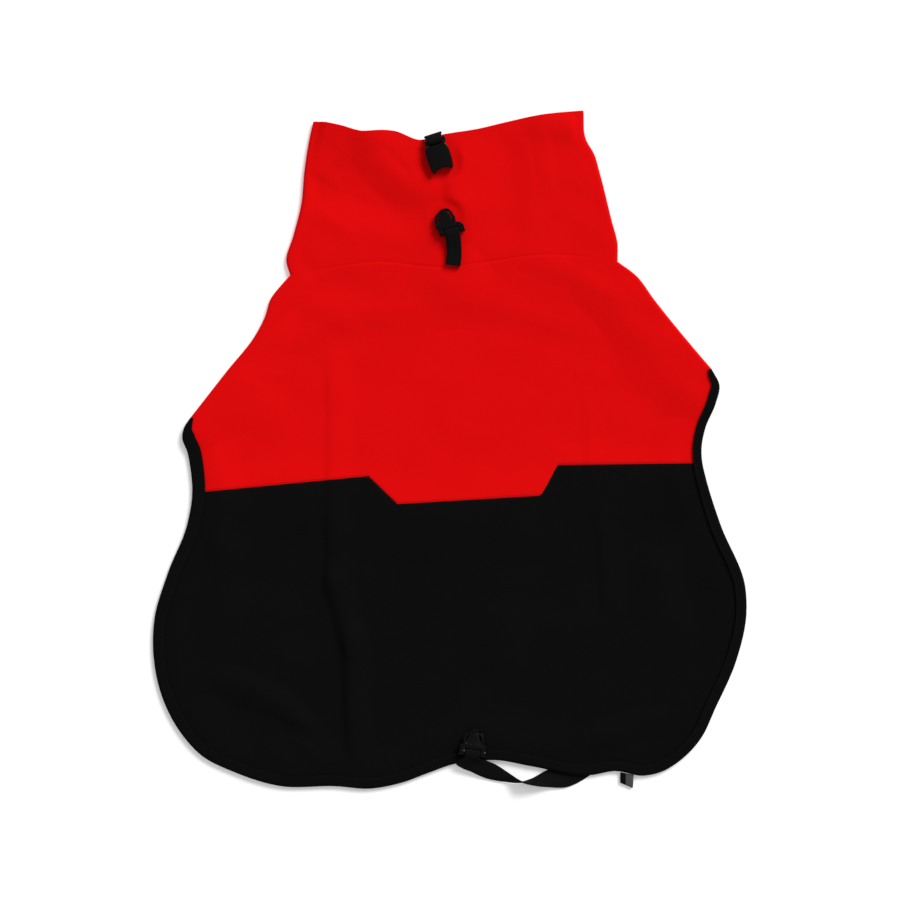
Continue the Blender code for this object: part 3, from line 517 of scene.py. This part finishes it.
def cloth(grids):
    """A wall of cloth behind grids of outer points and the ways through it."""
    shape = bmesh.new()
    through = shape.verts.layers.float_vector.new("through")
    for points, ways in grids:
        for place, vert in lay_out(shape, points).items():
            vert[through] = Vector(ways[place]) * MM
    bmesh.ops.remove_doubles(shape, verts=shape.verts, dist=0.000005)
    return thickened(shape, through)


def downwards(points):
    return np.broadcast_to((0.0, 0.0, -CLOTH), points.shape)


def turned_under(left, right):
    """Columns that carry each row round its side folds and in beneath it."""
    way = right - left
    way = way / np.linalg.norm(way, axis=1)[:, None]
    turns = [math.radians(degrees) for degrees in FOLD_TURNS]
    steps = []
    for k in range(UNDER_STEPS, 0, -1):
        share = k / UNDER_STEPS
        steps.append((TURN_UNDER * share + FOLD_REACH * (1 - share), 0.0, turns[0]))
    for turn in turns:
        inwards = FOLD_REACH * (1 - math.cos(turn))
        steps.append((inwards, FOLD_HEIGHT / 2 * (1 + math.sin(turn)), turn))
    sides = []
    for border, heading in ((left, way), (right, -way)):
        columns = []
        for inwards, height, turn in steps:
            point = flat(border + heading * inwards, height)
            into = flat(heading * CLOTH * math.cos(turn), -CLOTH * math.sin(turn))
            columns.append((point, into))
        points, ways = (np.stack(part, 1) for part in zip(*columns))
        sides.append((points, ways))
    before, after = sides
    return before, tuple(part[:, ::-1] for part in after)


def wrapped(rows, before, after):
    """Rows of the upper face joined to the columns round both side folds."""
    points = np.concatenate([before[0], rows, after[0]], 1)
    ways = np.concatenate([before[1], downwards(rows), after[1]], 1)
    return points, ways


def inner_border(left, right):
    """Where the side folds flatten into the upper face, and the turned edges below."""
    way = right - left
    way = way / np.linalg.norm(way, axis=1)[:, None]
    return (
        (left + way * FOLD_REACH, right - way * FOLD_REACH),
        (left + way * (TURN_UNDER + SEAM_GAP), right - way * (TURN_UNDER + SEAM_GAP)),
    )


def fitted(line, first, last, fractions):
    """A border line read at fractions and pulled to end at two given points."""
    points = along(line, fractions)
    share = np.asarray(fractions)[:, None]
    return points + (1 - share) * (first - points[0]) + share * (last - points[-1])


def rows_to(count, length, at_start=False, at_end=False):
    """Even fractions with a few more close to a seam, for its rolled edge."""
    extra = np.array(SEAM_ROLL_ROWS) / length
    more = [extra] * at_start + [1 - extra] * at_end
    return np.unique(np.concatenate([np.linspace(0, 1, count + 1), *more]))


def softshell(name, dark, light, strength):
    """Matt coated cloth: a fine plain weave, small crinkles and uneven dye."""
    finish, shader, shade = new_finish(name, 0.02)
    place = shade.make("TexCoord", {}, {}, "Object")
    thread = 2 * math.pi / SOFTSHELL_PITCH
    axes = [shade.make("SeparateXYZ", {}, {0: place}, axis) for axis in (0, 1)]
    warp, weft = (shade.maths("SINE", axis * thread) for axis in axes)
    weave = warp * weft * 0.5 + 0.5
    crinkle = shade.noise(place, CRINKLES, 3.0)
    cloudy = shade.noise(place, CLOUDS, 2.0)
    share = cloudy * 0.6 + crinkle * 0.25 + weave * 0.15
    return wear(
        finish, shader,
        base_color=shade.tint(share, dark, light),
        roughness=crinkle * 0.12 + 0.76,
        normal=shade.bump(weave * 0.35 + crinkle * 0.65, strength, CRINKLE_DEPTH),
    )


red_softshell = softshell("red_softshell", (0.67, 0.0022, 0.0026), (0.74, 0.0030, 0.0034), 0.2)
across = np.linspace(0, 1, len(contrast))

section = rows_to(YOKE_ROWS, YOKE_SIDE, at_start=True)
left, right = along(left_fold, section), along(right_fold, section)
(upper_left, upper_right), _ = inner_border(left, right)
lap_share = SEAM_LAP / 2 / lengths(bound)[-1]
leg = rows_to(LEG_ROWS, LEG_SIDE, at_end=True)[1:]
left_leg = along(bound, leg * (left_seam + lap_share))
right_leg = along(bound, 1 - leg * (1 - right_seam + lap_share))
top = fitted(inset(neck_seam, SEAM_LAP / 2), upper_left[0], upper_right[0], across)
yoke = patch(
    top,
    inset(contrast, -SEAM_LAP / 2),
    np.vstack([upper_left, left_leg]),
    np.vstack([upper_right, right_leg]),
    np.concatenate([section * WING_SHARE, WING_SHARE + leg * (1 - WING_SHARE)]),
)
yoke = raised(yoke, (0, NECK_DIP, NECK_DIP_REACH), (-1, SEAM_DIP, SEAM_DIP_REACH))
upper = wrapped(yoke[: len(section)], *turned_under(left, right))
lower = yoke[len(section) - 1 :]
yoke_cloth = piece(
    "yoke_cloth", cloth([upper, (lower, downwards(lower))]), red_softshell,
    "red_softshell", "coat", "back_yoke",
)


# ----------------------------------------------------------------------- rear panel
# The black lower back, one flat piece of the same softshell. It is sewn to the yoke
# at the stepped seam and bound round its sides and hem.
REAR_LEFT_CORNER, REAR_RIGHT_CORNER = (-176.0, -192.8), (163.0, -197.5)
REAR_ROWS, REAR_SIDE = 140, 185.0  # rows of points beside the binding, and its length
RELAX_EVERY, RELAX_PASSES = 7, 160

black_softshell = softshell(
    "black_softshell", (0.0030, 0.0030, 0.0030), (0.0044, 0.0043, 0.0042), 0.3
)


def relaxed(grid):
    """The grid with its inner points evened out, worked out on every few rows."""
    rows = np.linspace(0, len(grid) - 1, len(grid) // RELAX_EVERY + 1).round().astype(int)
    columns = np.linspace(0, len(grid[0]) - 1, len(grid[0]) // RELAX_EVERY + 1)
    columns = columns.round().astype(int)
    coarse = grid[rows][:, columns]
    even = coarse.copy()
    for _ in range(RELAX_PASSES):
        even[1:-1, 1:-1] = (
            even[:-2, 1:-1] + even[2:, 1:-1] + even[1:-1, :-2] + even[1:-1, 2:]
        ) / 4
    shift = even - coarse
    moved = grid.copy()
    for k in (0, 1):
        wide = np.stack([np.interp(np.arange(len(grid[0])), columns, r) for r in shift[..., k]])
        moved[..., k] += np.stack(
            [np.interp(np.arange(len(grid)), rows, column) for column in wide.T], 1
        )
    return moved


low_left = station(bound_edge, REAR_LEFT_CORNER)
low_right = station(bound_edge, REAR_RIGHT_CORNER)
down = rows_to(REAR_ROWS, REAR_SIDE, at_start=True)
left = along(bound, np.interp(down, (0, 1), (left_seam - lap_share, low_left)))
right = along(bound, np.interp(down, (0, 1), (right_seam + lap_share, low_right)))
hem = along(bound, low_left + across * (low_right - low_left))
rear = patch(inset(contrast, SEAM_LAP / 2), hem, left, right, down)
rear = raised(relaxed(rear), (0, SEAM_DIP, SEAM_DIP_REACH))
rear_cloth = piece(
    "rear_cloth", cloth([(rear, downwards(rear))]), black_softshell,
    "black_softshell", "coat", "rear_panel",
)


# --------------------------------------------------------------------------- collar
# A standing collar of the red softshell, folded flat: its back is turned under at
# both sides, and the throat half closes it below. The top edge is hemmed.
COLLAR_TOP = (
    (-91.0, 218.5), (-80.3, 216.5), (-64.3, 212.5), (-40.3, 212.5), (-20.3, 206.4),
    (-6.3, 209.7), (19.7, 213.9), (43.7, 219.2), (67.7, 223.9), (89.0, 225.9),
)
COLLAR_ROWS, COLLAR_SIDE, COLLAR_COLUMNS, THROAT_COLUMNS = 66, 95.0, 141, 71

collar_top = smooth(COLLAR_TOP)
collar_rows = 1 - rows_to(COLLAR_ROWS, COLLAR_SIDE, at_start=True, at_end=True)
left, right = along(collar_left, collar_rows), along(collar_right, collar_rows)
(upper_left, upper_right), (lower_left, lower_right) = inner_border(left, right)
seam_above = inset(neck_seam, -SEAM_LAP / 2)
columns = np.linspace(0, 1, COLLAR_COLUMNS)
top = fitted(collar_top, upper_left[0], upper_right[0], columns)
foot = fitted(seam_above, upper_left[-1], upper_right[-1], columns)
collar = patch(top, foot, upper_left, upper_right, 1 - collar_rows)
collar = raised(collar, (-1, NECK_DIP, NECK_DIP_REACH))
collar_cloth = piece(
    "collar_cloth", cloth([wrapped(collar, *turned_under(left, right))]), red_softshell,
    "red_softshell", "coat", "collar",
)

throat_columns = np.linspace(0, 1, THROAT_COLUMNS)
top = fitted(collar_top, lower_left[0], lower_right[0], throat_columns)
foot = fitted(seam_above, lower_left[-1], lower_right[-1], throat_columns)
throat = flat(patch(top, foot, lower_left, lower_right, 1 - collar_rows), CLOTH)
throat_cloth = piece(
    "throat_cloth", cloth([(throat, downwards(throat))]), red_softshell,
    "red_softshell", "coat", "collar_throat",
)


# ---------------------------------------------------------------------- chest panel
# The front of the chest, under the yoke. Its lower edge is a wide arch between the
# two leg openings, and it shows through the yoke as a soft step.
CHEST_ROWS, CHEST_COLUMNS = 48, 101

rows = rows_to(CHEST_ROWS, YOKE_SIDE, at_start=True)
left, right = along(left_fold, rows), along(right_fold, rows)
_, (lower_left, lower_right) = inner_border(left, right)
chest_columns = np.linspace(0, 1, CHEST_COLUMNS)
seam_below = inset(neck_seam, SEAM_LAP / 2)
top = fitted(seam_below, lower_left[0], lower_right[0], chest_columns)
foot = fitted(chest_edge, lower_left[-1], lower_right[-1], chest_columns)
chest = flat(patch(top, foot, lower_left, lower_right, rows), CLOTH)
chest_cloth = piece(
    "chest_cloth", cloth([(chest, downwards(chest))]), red_softshell,
    "red_softshell", "coat", "chest_panel",
)


# --------------------------------------------------------------------- edge binding
# Black binding tape folded over the leg edges and the hem in one length, and sewn
# through near its inner edge.
BINDING_WALL = 1.0
# Columns: share of the tape's length, and its width on the coat's upper face.
BINDING_WIDTHS = (
    (0.0, 2.2), (0.006, 4.5), (0.013, 8.4), (0.03, 9.2), (0.06, 8.8), (0.12, 8.0),
    (0.88, 7.0), (0.93, 6.0), (0.98, 6.4), (0.99, 5.0), (0.995, 4.4), (1.0, 2.4),
)
BINDING_END = 0.010  # share of its length in which the tape turns to lie in the side fold
BINDING_STATIONS, LEG_STEPS = 620, 5  # points along the tape, and across each leg
BINDING_TURNS = (-90, -65, -40, -15, 15, 40, 65, 90)  # degrees round the bound edge
CHEVRON = 0.0025  # metres, the half width of the woven tapes' herringbone


def tape(grid, wall, lead=0.0):
    """A wall of tape behind rows of points, first moved out by lead, with its lay.

    The lay is how far a point is along the tape and across it, for its weave.
    """
    side = np.cross(np.gradient(grid, axis=0), np.gradient(grid, axis=1))
    side /= np.linalg.norm(side, axis=2)[..., None]
    grid, ways = grid + side * lead, side * -wall
    middle = grid[:, len(grid[0]) // 2]
    shape = bmesh.new()
    through = shape.verts.layers.float_vector.new("through")
    lay = shape.verts.layers.float_vector.new("lay")
    for (row, column), vert in lay_out(shape, grid).items():
        vert[through] = Vector(ways[row, column]) * MM
        vert[lay] = (
            lengths(middle)[row] * MM, lengths(grid[row])[column] * MM, 0.0
        )
    return thickened(shape, through)


def woven_tape(name, dark, light, rib):
    """Narrow woven tape: ribs across it, finer threads along it."""
    finish, shader, shade = new_finish(name, 0.03)
    lay = shade.make("Attribute", {"attribute_name": "lay"}, {}, "Vector")
    run, width = (shade.make("SeparateXYZ", {}, {0: lay}, axis) for axis in (0, 1))
    chevron = shade.maths("PINGPONG", width, CHEVRON)
    ribs = shade.maths("SINE", (run + chevron) * (2 * math.pi / rib)) * 0.5 + 0.5
    threads = shade.maths("SINE", width * (2 * math.pi / (rib * 0.6))) * 0.5 + 0.5
    fuzz = shade.noise(lay, 900.0, 2.0)
    return wear(
        finish, shader,
        base_color=shade.tint(ribs * 0.5 + fuzz * 0.5, dark, light),
        roughness=fuzz * 0.1 + 0.8,
        normal=shade.bump(ribs * 0.6 + threads * 0.25 + fuzz * 0.15, 0.5, rib * 0.25),
    )


binding_finish = woven_tape(
    "binding_weave", (0.0026, 0.0026, 0.0026), (0.0042, 0.0042, 0.0043), 0.0005
)
stations = np.linspace(0, 1, BINDING_STATIONS)
edge = along(bound_edge, stations)
sideways = inset(bound_edge, 1.0) - bound_edge
shares = lengths(bound_edge) / lengths(bound_edge)[-1]
inwards = np.stack([np.interp(stations, shares, way) for way in sideways.T], 1)
wing_way = right_fold[-1] - left_fold[-1]
wing_way = wing_way / np.linalg.norm(wing_way)
for reach, way in ((stations, wing_way), (1 - stations, -wing_way)):
    turn = fade(1 - reach / BINDING_END)[:, None]
    inwards = (1 - turn) * inwards + turn * way
inwards /= np.linalg.norm(inwards, axis=1)[:, None]
width = np.interp(stations, *np.array(BINDING_WIDTHS).T)[:, None]
half = CLOTH / 2 + SEAM_GAP + BINDING_WALL
binding = []
for reach, turn in (
    *((1 - k / LEG_STEPS, -90) for k in range(LEG_STEPS)),
    *((0, turn) for turn in BINDING_TURNS),
    *((k / LEG_STEPS, 90) for k in range(1, LEG_STEPS + 1)),
):
    turn = math.radians(turn)
    rounded = half * (1 - math.cos(turn))
    deep = rounded + (width - half) * reach
    spot = edge + inwards * deep
    on_cloth = edge + inwards * np.maximum(deep, EDGE_INSET)
    height = surface(on_cloth) - CLOTH / 2 + half * math.sin(turn)
    binding.append(np.hstack([spot, height[:, None]]))
binding_tape = piece(
    "binding_tape", tape(np.stack(binding, 1), BINDING_WALL), binding_finish,
    "black_binding", "coat", "edge_binding",
)


# -------------------------------------------------- neck tab and its buckle half
# Doubled 10 mm webbing with both ends sewn into the neck seam, looped round the bar
# of the unfastened plug half, which lies on the collar.
WEBBING, WEBBING_WIDTH, LOOP_RADIUS = 1.0, 10.0, 2.0
LOWER, UPPER = -LOOP_RADIUS, -LOOP_RADIUS + WEBBING + SEAM_GAP
NECK_BAR, NECK_LEAN, NECK_AXIS = (1.3, 145.5), 13.0, 6.98
# Columns: back along the tab from the bar, up from its axis.
NECK_TAB_RETURN = ((5.0, 1.4), (10.0, 0.2), (16.0, UPPER + 0.1))
LUG_REACH = 2.2  # back from the bar
# Places ahead of the bar in the CAD form, and where the same points lie here.
PLUG_AHEAD = ((-9.0, 2.2, 3.3, 6.2, 18.0), (-9.0, 2.2, 2.7, 5.6, 15.8))
SOCKET_AHEAD = ((-9.0, 2.2, 3.3, 20.6), (-9.0, 2.2, 2.7, 21.2))
# A plug's tongue: how far aside and ahead its corners lie in the CAD form, and where
# they lie here, to fill the ring of the spring arms.
TONGUE_CORNER, TONGUE_SLACK, TONGUE_FROM, TONGUE_TO = 4.6, 0.1, 6.0, 7.0
TONGUE_FOOT, LEFT_TIP, RIGHT_TIP = 5.4, (-3.4, 15.2), (1.6, 15.9)
# The arms stand off to one side over the first length and come part of the way back at
# their tips. They and the tongue are narrower than in the CAD form by the taper.
LEAN_OVER, LEAN_BACK, LEAN_BACK_FROM, LEAN_BACK_OVER = 5.0, 0.4, 12.0, 6.0
PLUG_TAPER, PLUG_TAPER_FROM, PLUG_TAPER_OVER = 0.08, 6.0, 6.0
SOCKET_TAPER, SOCKET_SHIFT, SOCKET_TAPER_OVER = 0.13, 0.75, 3.0
NECK_CLIP_LEAN, HEM_CLIP_LEAN = -2.9, 0.0
MOULDED_FLAT, MOULDED_SHARP = 3.0, 38.0  # degrees: no edge below, and a rounded one above
# Columns: place across the webbing from -1 to 1, and share of its wall there.
SELVEDGE = ((-1.0, 0.3), (-0.96, 0.7), (-0.88, 1.0), (-0.45, 1.0), (0.0, 1.0),
            (0.45, 1.0), (0.88, 1.0), (0.96, 0.7), (1.0, 0.3))


def bar_frame(pivot, lean):
    """Middle, prong way and width way of a web bar, in the plan."""
    turn = math.radians(lean)
    ahead = np.array([-math.sin(turn), math.cos(turn)])
    return np.array(pivot), ahead, np.array([math.cos(turn), math.sin(turn)])


def round_bar(first, last, steps):
    """Offsets (back, up) from a bar's middle along the webbing's turn round it."""
    turns = [math.radians(first + (last - first) * i / steps) for i in range(steps + 1)]
    return [(-LOOP_RADIUS * math.cos(a), LOOP_RADIUS * math.sin(a)) for a in turns]


def level(middle, ahead, aside, path, axis, spread=0.0):
    """Both edges of webbing that keeps level: its path is back from a bar, and up.

    Past the bar's lugs it is wider on either side by the spread.
    """
    edges = []
    for side in (-1, 1):
        edge = []
        for back, up in path:
            half_width = WEBBING_WIDTH / 2 + spread * fade((back - LUG_REACH) / LUG_REACH)
            edge.append((*(middle + aside * side * half_width - ahead * back), axis + up))
        edges.append(np.array(edge))
    return edges


def webbing(left, right, steps=4):
    """Webbing between two edges that run side by side, thinner at its selvedges."""
    left, right = smooth(left, steps), smooth(right, steps)
    place, share = np.array(SELVEDGE).T
    place = (place[None, :, None] + 1) / 2
    grid = (1 - place) * left[:, None] + place * right[:, None]
    wall = WEBBING * share[None, :, None]
    return tape(grid, wall, wall / 2)


def plug_form(lean):
    """Where the points of a plug lie, aside of its bar and ahead of it.

    Its head stands off to one side by the lean, and its tongue nearly fills its ring.
    """

    def form(x, y):
        if y > TONGUE_FROM and abs(abs(x) - TONGUE_CORNER) < TONGUE_SLACK:
            if y < TONGUE_TO:
                x = math.copysign(TONGUE_FOOT, x)
            else:
                x, y = LEFT_TIP if x < 0 else RIGHT_TIP
        leaning = fade((y - LUG_REACH) / LEAN_OVER)
        leaning -= LEAN_BACK * fade((y - LEAN_BACK_FROM) / LEAN_BACK_OVER)
        narrower = 1 - PLUG_TAPER * fade((y - PLUG_TAPER_FROM) / PLUG_TAPER_OVER)
        return x * narrower + lean * leaning, np.interp(y, *PLUG_AHEAD)

    return form


def socket_form(x, y):
    """Where the points of a socket lie, aside of its bar and ahead of it."""
    share = fade((y - LUG_REACH) / SOCKET_TAPER_OVER)
    return x * (1 - SOCKET_TAPER * share) + SOCKET_SHIFT * share, np.interp(y, *SOCKET_AHEAD)


def moulded(name, node, look, body, rounding, bar, form):
    """A hard piece from its CAD node, placed from its bar by its form and rounded."""
    middle, ahead, aside = bar
    shape = bmesh.new()
    shape.from_mesh(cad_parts[node].data)
    bmesh.ops.remove_doubles(shape, verts=shape.verts, dist=0.000002)
    for vert in shape.verts:
        off = np.array(vert.co.xy) / MM - middle
        across_bar, from_bar = form(off @ aside, off @ ahead)
        vert.co.xy = (middle + aside * across_bar + ahead * from_bar) * MM
    bmesh.ops.dissolve_limit(
        shape, angle_limit=math.radians(MOULDED_FLAT), verts=shape.verts, edges=shape.edges
    )
    corners = [
        edge for edge in shape.edges
        if len(edge.link_faces) == 2
        and edge.calc_face_angle() > math.radians(MOULDED_SHARP)
    ]
    bmesh.ops.bevel(
        shape, geom=corners, offset=rounding * MM, offset_type="OFFSET", segments=2,
        profile=0.5, affect="EDGES", material=-1, clamp_overlap=True,
    )
    return piece(name, shape, look, "black_plastic", body, node)


finish, shader, shade = new_finish("moulded_plastic", 0.02)
shader.inputs["Coat Weight"].default_value = 0.2
shader.inputs["Coat Roughness"].default_value = 0.1
place = shade.make("TexCoord", {}, {}, "Object")
grain = shade.noise(place, 2600.0, 2.0)
smudge = shade.noise(place, 160.0, 2.0)
plastic = wear(
    finish, shader,
    base_color=shade.tint(smudge, (0.0009, 0.0010, 0.0010), (0.0018, 0.0019, 0.0019)),
    roughness=smudge * 0.15 + grain * 0.08 + 0.26,
    normal=shade.bump(grain, 0.12, 0.00004),
)
webbing_finish = woven_tape(
    "woven_webbing", (0.0032, 0.0034, 0.0033), (0.0060, 0.0063, 0.0062), 0.0009
)

middle, ahead, aside = bar_frame(NECK_BAR, NECK_LEAN)
foot = np.array(NECK_TAB_FOOT)
tab_length = np.linalg.norm(middle - foot)
bend = middle - ahead * tab_length / 2


def neck_tab_point(back, up, side):
    """A point of the tab: back along its curve from the bar, up from the bar's axis."""
    centre, across_way = middle - ahead * back, aside
    if back > 0:
        t = back / tab_length
        centre = (1 - t) ** 2 * middle + 2 * t * (1 - t) * bend + t**2 * foot
        heading = (1 - t) * (bend - middle) + t * (foot - bend)
        heading = heading / np.linalg.norm(heading)
        across_way = np.array([-heading[1], heading[0]])
    spot = centre + across_way * side * WEBBING_WIDTH / 2
    return (*spot, NECK_AXIS + up)


path = [(tab_length * t, LOWER) for t in (1.0, 0.66, 0.33)]
path += [*round_bar(-90, 90, 8), *NECK_TAB_RETURN, (tab_length, UPPER)]
neck_webbing = piece(
    "neck_webbing",
    webbing(*[[neck_tab_point(back, up, side) for back, up in path] for side in (-1, 1)]),
    webbing_finish, "black_webbing", "coat", "neck_tab",
)
moulded(
    "neck_clip", "neck_plug", plastic, "neck_buckle_half", 0.3, (middle, ahead, aside),
    plug_form(NECK_CLIP_LEAN),
)


# ------------------------------------------------ collar tab and its buckle half
# Webbing from inside the collar's hem, over its top edge and round the bar of the
# socket half, which lies mouth down on the collar.
COLLAR_BAR, COLLAR_LEAN, COLLAR_AXIS = (-10.0, 205.5), 198.0, 7.591
COLLAR_TAB_SPREAD = 1.1  # it flares this much on either side past the socket's lugs

middle, ahead, aside = bar_frame(COLLAR_BAR, COLLAR_LEAN)
inside = CLOTH + SEAM_GAP + WEBBING / 2 - COLLAR_AXIS
# Back from the bar and up from it: inside the hem, up over its edge and round the bar.
path = [(-6.0, inside), (0.0, inside), (2.8, inside), (4.1, inside + 0.5)]
path += [(4.6, (inside + LOWER) / 2), (4.5, LOWER - 0.2)]
path += [*round_bar(135, -90, 10), (2.4, LOWER)]
collar_webbing = piece(
    "collar_webbing",
    webbing(*level(middle, ahead, aside, path, COLLAR_AXIS, COLLAR_TAB_SPREAD)),
    webbing_finish, "black_webbing", "coat", "collar_tab",
)
moulded(
    "socket_clip", "buckle_socket", plastic, "collar_buckle_half", 0.2,
    (middle, ahead, aside), socket_form,
)


# --------------------------------------------------- tail strap and its buckle half
# A loose strap that goes round the hem plug's bar, over the hem, turns over once on
# the table and comes back under the hem, where it is sewn in.
HEM_BAR, HEM_LEAN, HEM_AXIS = (15.0, -201.5), -7.0, 6.6
TAIL_STRAP_END = 5.0
# One edge of the strap and then the other, from the bar on. Columns: x, y, z of each.
TAIL_STRAP = (
    (4.0, -208.8, 5.1, 22.6, -206.2, 5.1),
    (14.0, -214.4, 3.0, 30.0, -209.3, 3.3),
    (25.0, -219.2, 0.9, 38.6, -214.7, 3.0),
    (36.8, -221.1, 0.7, 44.3, -218.4, 6.6),
    (47.8, -221.5, 0.7, 48.7, -221.0, 10.2),
    (56.3, -218.3, 0.7, 56.0, -223.3, 8.0),
    (66.5, -212.9, 0.7, 66.6, -224.9, 2.4),
    (74.5, -213.6, 0.6, 77.3, -225.0, 0.9),
    (83.5, -215.0, 0.6, 88.0, -220.4, 0.6),
    (90.0, -216.0, 0.6, 94.2, -216.4, 0.6),
)

middle, ahead, aside = bar_frame(HEM_BAR, HEM_LEAN)
path = [(TAIL_STRAP_END, LOWER), (TAIL_STRAP_END / 2, LOWER)]
path += [*round_bar(-90, 90, 8), (3.0, 1.5)]
edges = []
for turn, half_row in zip(
    level(middle, ahead, aside, path, HEM_AXIS), (slice(0, 3), slice(3, 6))
):
    led = smooth([turn[-1], *(row[half_row] for row in TAIL_STRAP)], 2)
    edges.append([*turn[:-1], *led])
tail_webbing = piece(
    "tail_webbing", webbing(*edges), webbing_finish, "black_webbing", "coat", "tail_strap"
)
moulded(
    "hem_clip", "hem_plug", plastic, "hem_buckle_half", 0.3, (middle, ahead, aside),
    plug_form(HEM_CLIP_LEAN),
)


# -------------------------------------------------------------------------- hem tab
# A short satin tab folded once, with both ends sewn in under the hem's binding. Its right part is
# painted grey: a painted lit side, standing in for the light that face catches.
HEM_TAB_LEFT, HEM_TAB_RIGHT = (113.5, -215.0), (122.4, -216.6)
HEM_TAB_TIPS = ((113.5, -221.4), (122.0, -225.0))
HEM_TAB_TURNS = range(90, -91, -20)  # degrees round its fold
HEM_TAB_PAINTED_LIGHT_FROM = 117.196  # x from which the tab is painted grey, painted light for its lit side
SATIN_THREADS = 18000.0  # radians to the metre

low, high = WEBBING / 2, WEBBING / 2 + WEBBING + SEAM_GAP
fold = (high - low) / 2
edges = []
for head, tip in zip((HEM_TAB_LEFT, HEM_TAB_RIGHT), HEM_TAB_TIPS):
    head, tip = np.array(head), np.array(tip)
    way = (tip - head) / np.linalg.norm(tip - head)
    bend = tip - way * fold
    turns = [math.radians(degrees) for degrees in HEM_TAB_TURNS]
    edges.append(
        [
            (*head, high),
            *((*(bend + way * fold * math.cos(a)), low + fold + fold * math.sin(a)) for a in turns),
            (*head, low),
        ]
    )
finish, shader, shade = new_finish("satin_tab_painted_lit_side", 0.06)
lay = shade.make("Attribute", {"attribute_name": "lay"}, {}, "Vector")
place = shade.make("TexCoord", {}, {}, "Object")
side = shade.make("SeparateXYZ", {}, {0: place}, 0)
# Painted light: right of this x the tab's base colour is grey, a painted lit side on black tape.
painted_lit_side = shade.maths("GREATER_THAN", side, HEM_TAB_PAINTED_LIGHT_FROM * MM)
across_tab = shade.make("SeparateXYZ", {}, {0: lay}, 1)
threads = shade.maths("SINE", across_tab * SATIN_THREADS) * 0.5 + 0.5
tab_finish = wear(
    finish, shader,
    base_color=shade.tint(painted_lit_side, (0.0022, 0.0022, 0.0022), (0.062, 0.062, 0.062)),
    roughness=threads * 0.1 + 0.5,
    normal=shade.bump(threads, 0.2, 0.00005),
)
tab_tape = piece(
    "tab_tape", webbing(*edges, steps=3), tab_finish, "black_webbing", "coat", "hem_tab"
)


# ------------------------------------------------------------------------- stitches
# Single-needle rows in matching thread: along both sides of the stepped seam, along
# the binding's inner edge and round the hem of the collar.
STITCH, STITCH_GAP, THREAD = 2.4, 0.7, 0.17  # length, gap and a thread's half width
THREAD_LIFT = THREAD * 0.1  # a thread's middle above the cloth, so most of it is sunk in
SEAM_ROWS, SEAM_ROW_ENDS = 1.6, slice(8, -6)  # from the seam, and which of its points
BINDING_ROW = 1.3  # from the binding's inner edge
COLLAR_ROW, SOCKET_CLEAR = 5.0, 11.0  # from the collar's top edge, and round the socket
# Shares of their lines at which the long rows start and end.
BINDING_ROW_SPAN, COLLAR_ROW_SPAN = (0.004, 0.996), (0.03, 0.97)


def sewn(name, line, look, slot):
    """A row of stitches along a line in space, each a thread's short hump."""
    run = lengths(line)
    count = int(run[-1] // (STITCH + STITCH_GAP))
    at = (np.arange(count) + 0.5) / count
    spots, reach = along(line, at), STITCH / 2 / run[-1]
    ways = along(line, at + reach) - along(line, at - reach)
    lying = Matrix.Rotation(math.pi / 2, 4, "Y")
    shape = bmesh.new()
    for spot, way in zip(spots, ways):
        turn = Vector(way).to_track_quat("X", "Z").to_matrix().to_4x4()
        size = Matrix.Diagonal((STITCH / 2 * MM, THREAD * MM, THREAD * MM, 1.0))
        bmesh.ops.create_uvsphere(
            shape, u_segments=5, v_segments=6, radius=1.0,
            matrix=Matrix.Translation(Vector(spot) * MM) @ turn @ size @ lying,
        )
    return piece(name, shape, look, slot, "coat")


def thread(name, colour):
    finish, shader, shade = new_finish(name, 0.1)
    ply = shade.noise(shade.make("TexCoord", {}, {}, "Object"), 5000.0, 1.0)
    return wear(
        finish, shader,
        base_color=shade.tint(ply, [part * 0.8 for part in colour], colour),
        roughness=ply * 0.2 + 0.6,
    )


def on_cloth(line):
    return np.concatenate([line, surface(line)[:, None] + THREAD_LIFT], -1)


red_thread = thread("red_thread", (0.78, 0.004, 0.0045))
black_thread = thread("black_thread", (0.0048, 0.0048, 0.0049))
beside = inset(contrast, SEAM_ROWS)[SEAM_ROW_ENDS]
sewn("yoke_stitches", on_cloth(beside), red_thread, "red_softshell")
beside = inset(contrast, -SEAM_ROWS)[SEAM_ROW_ENDS]
sewn("rear_stitches", on_cloth(beside), black_thread, "black_softshell")
inner = edge + inwards * (width - BINDING_ROW)
inner = along(inner, np.linspace(*BINDING_ROW_SPAN, 900))
top_leg = surface(inner) + SEAM_GAP + BINDING_WALL + THREAD_LIFT
sewn("binding_stitches", np.hstack([inner, top_leg[:, None]]), black_thread, "black_binding")
hem_row = inset(collar_top[::-1], COLLAR_ROW)
hem_row = along(hem_row, np.linspace(*COLLAR_ROW_SPAN, 200))
for k, part in enumerate((hem_row[:100], hem_row[100:])):
    part = part[np.linalg.norm(part - np.array(COLLAR_BAR), axis=1) > SOCKET_CLEAR]
    sewn(f"collar_stitches_{k}", on_cloth(part), red_thread, "red_softshell")


low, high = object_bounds()
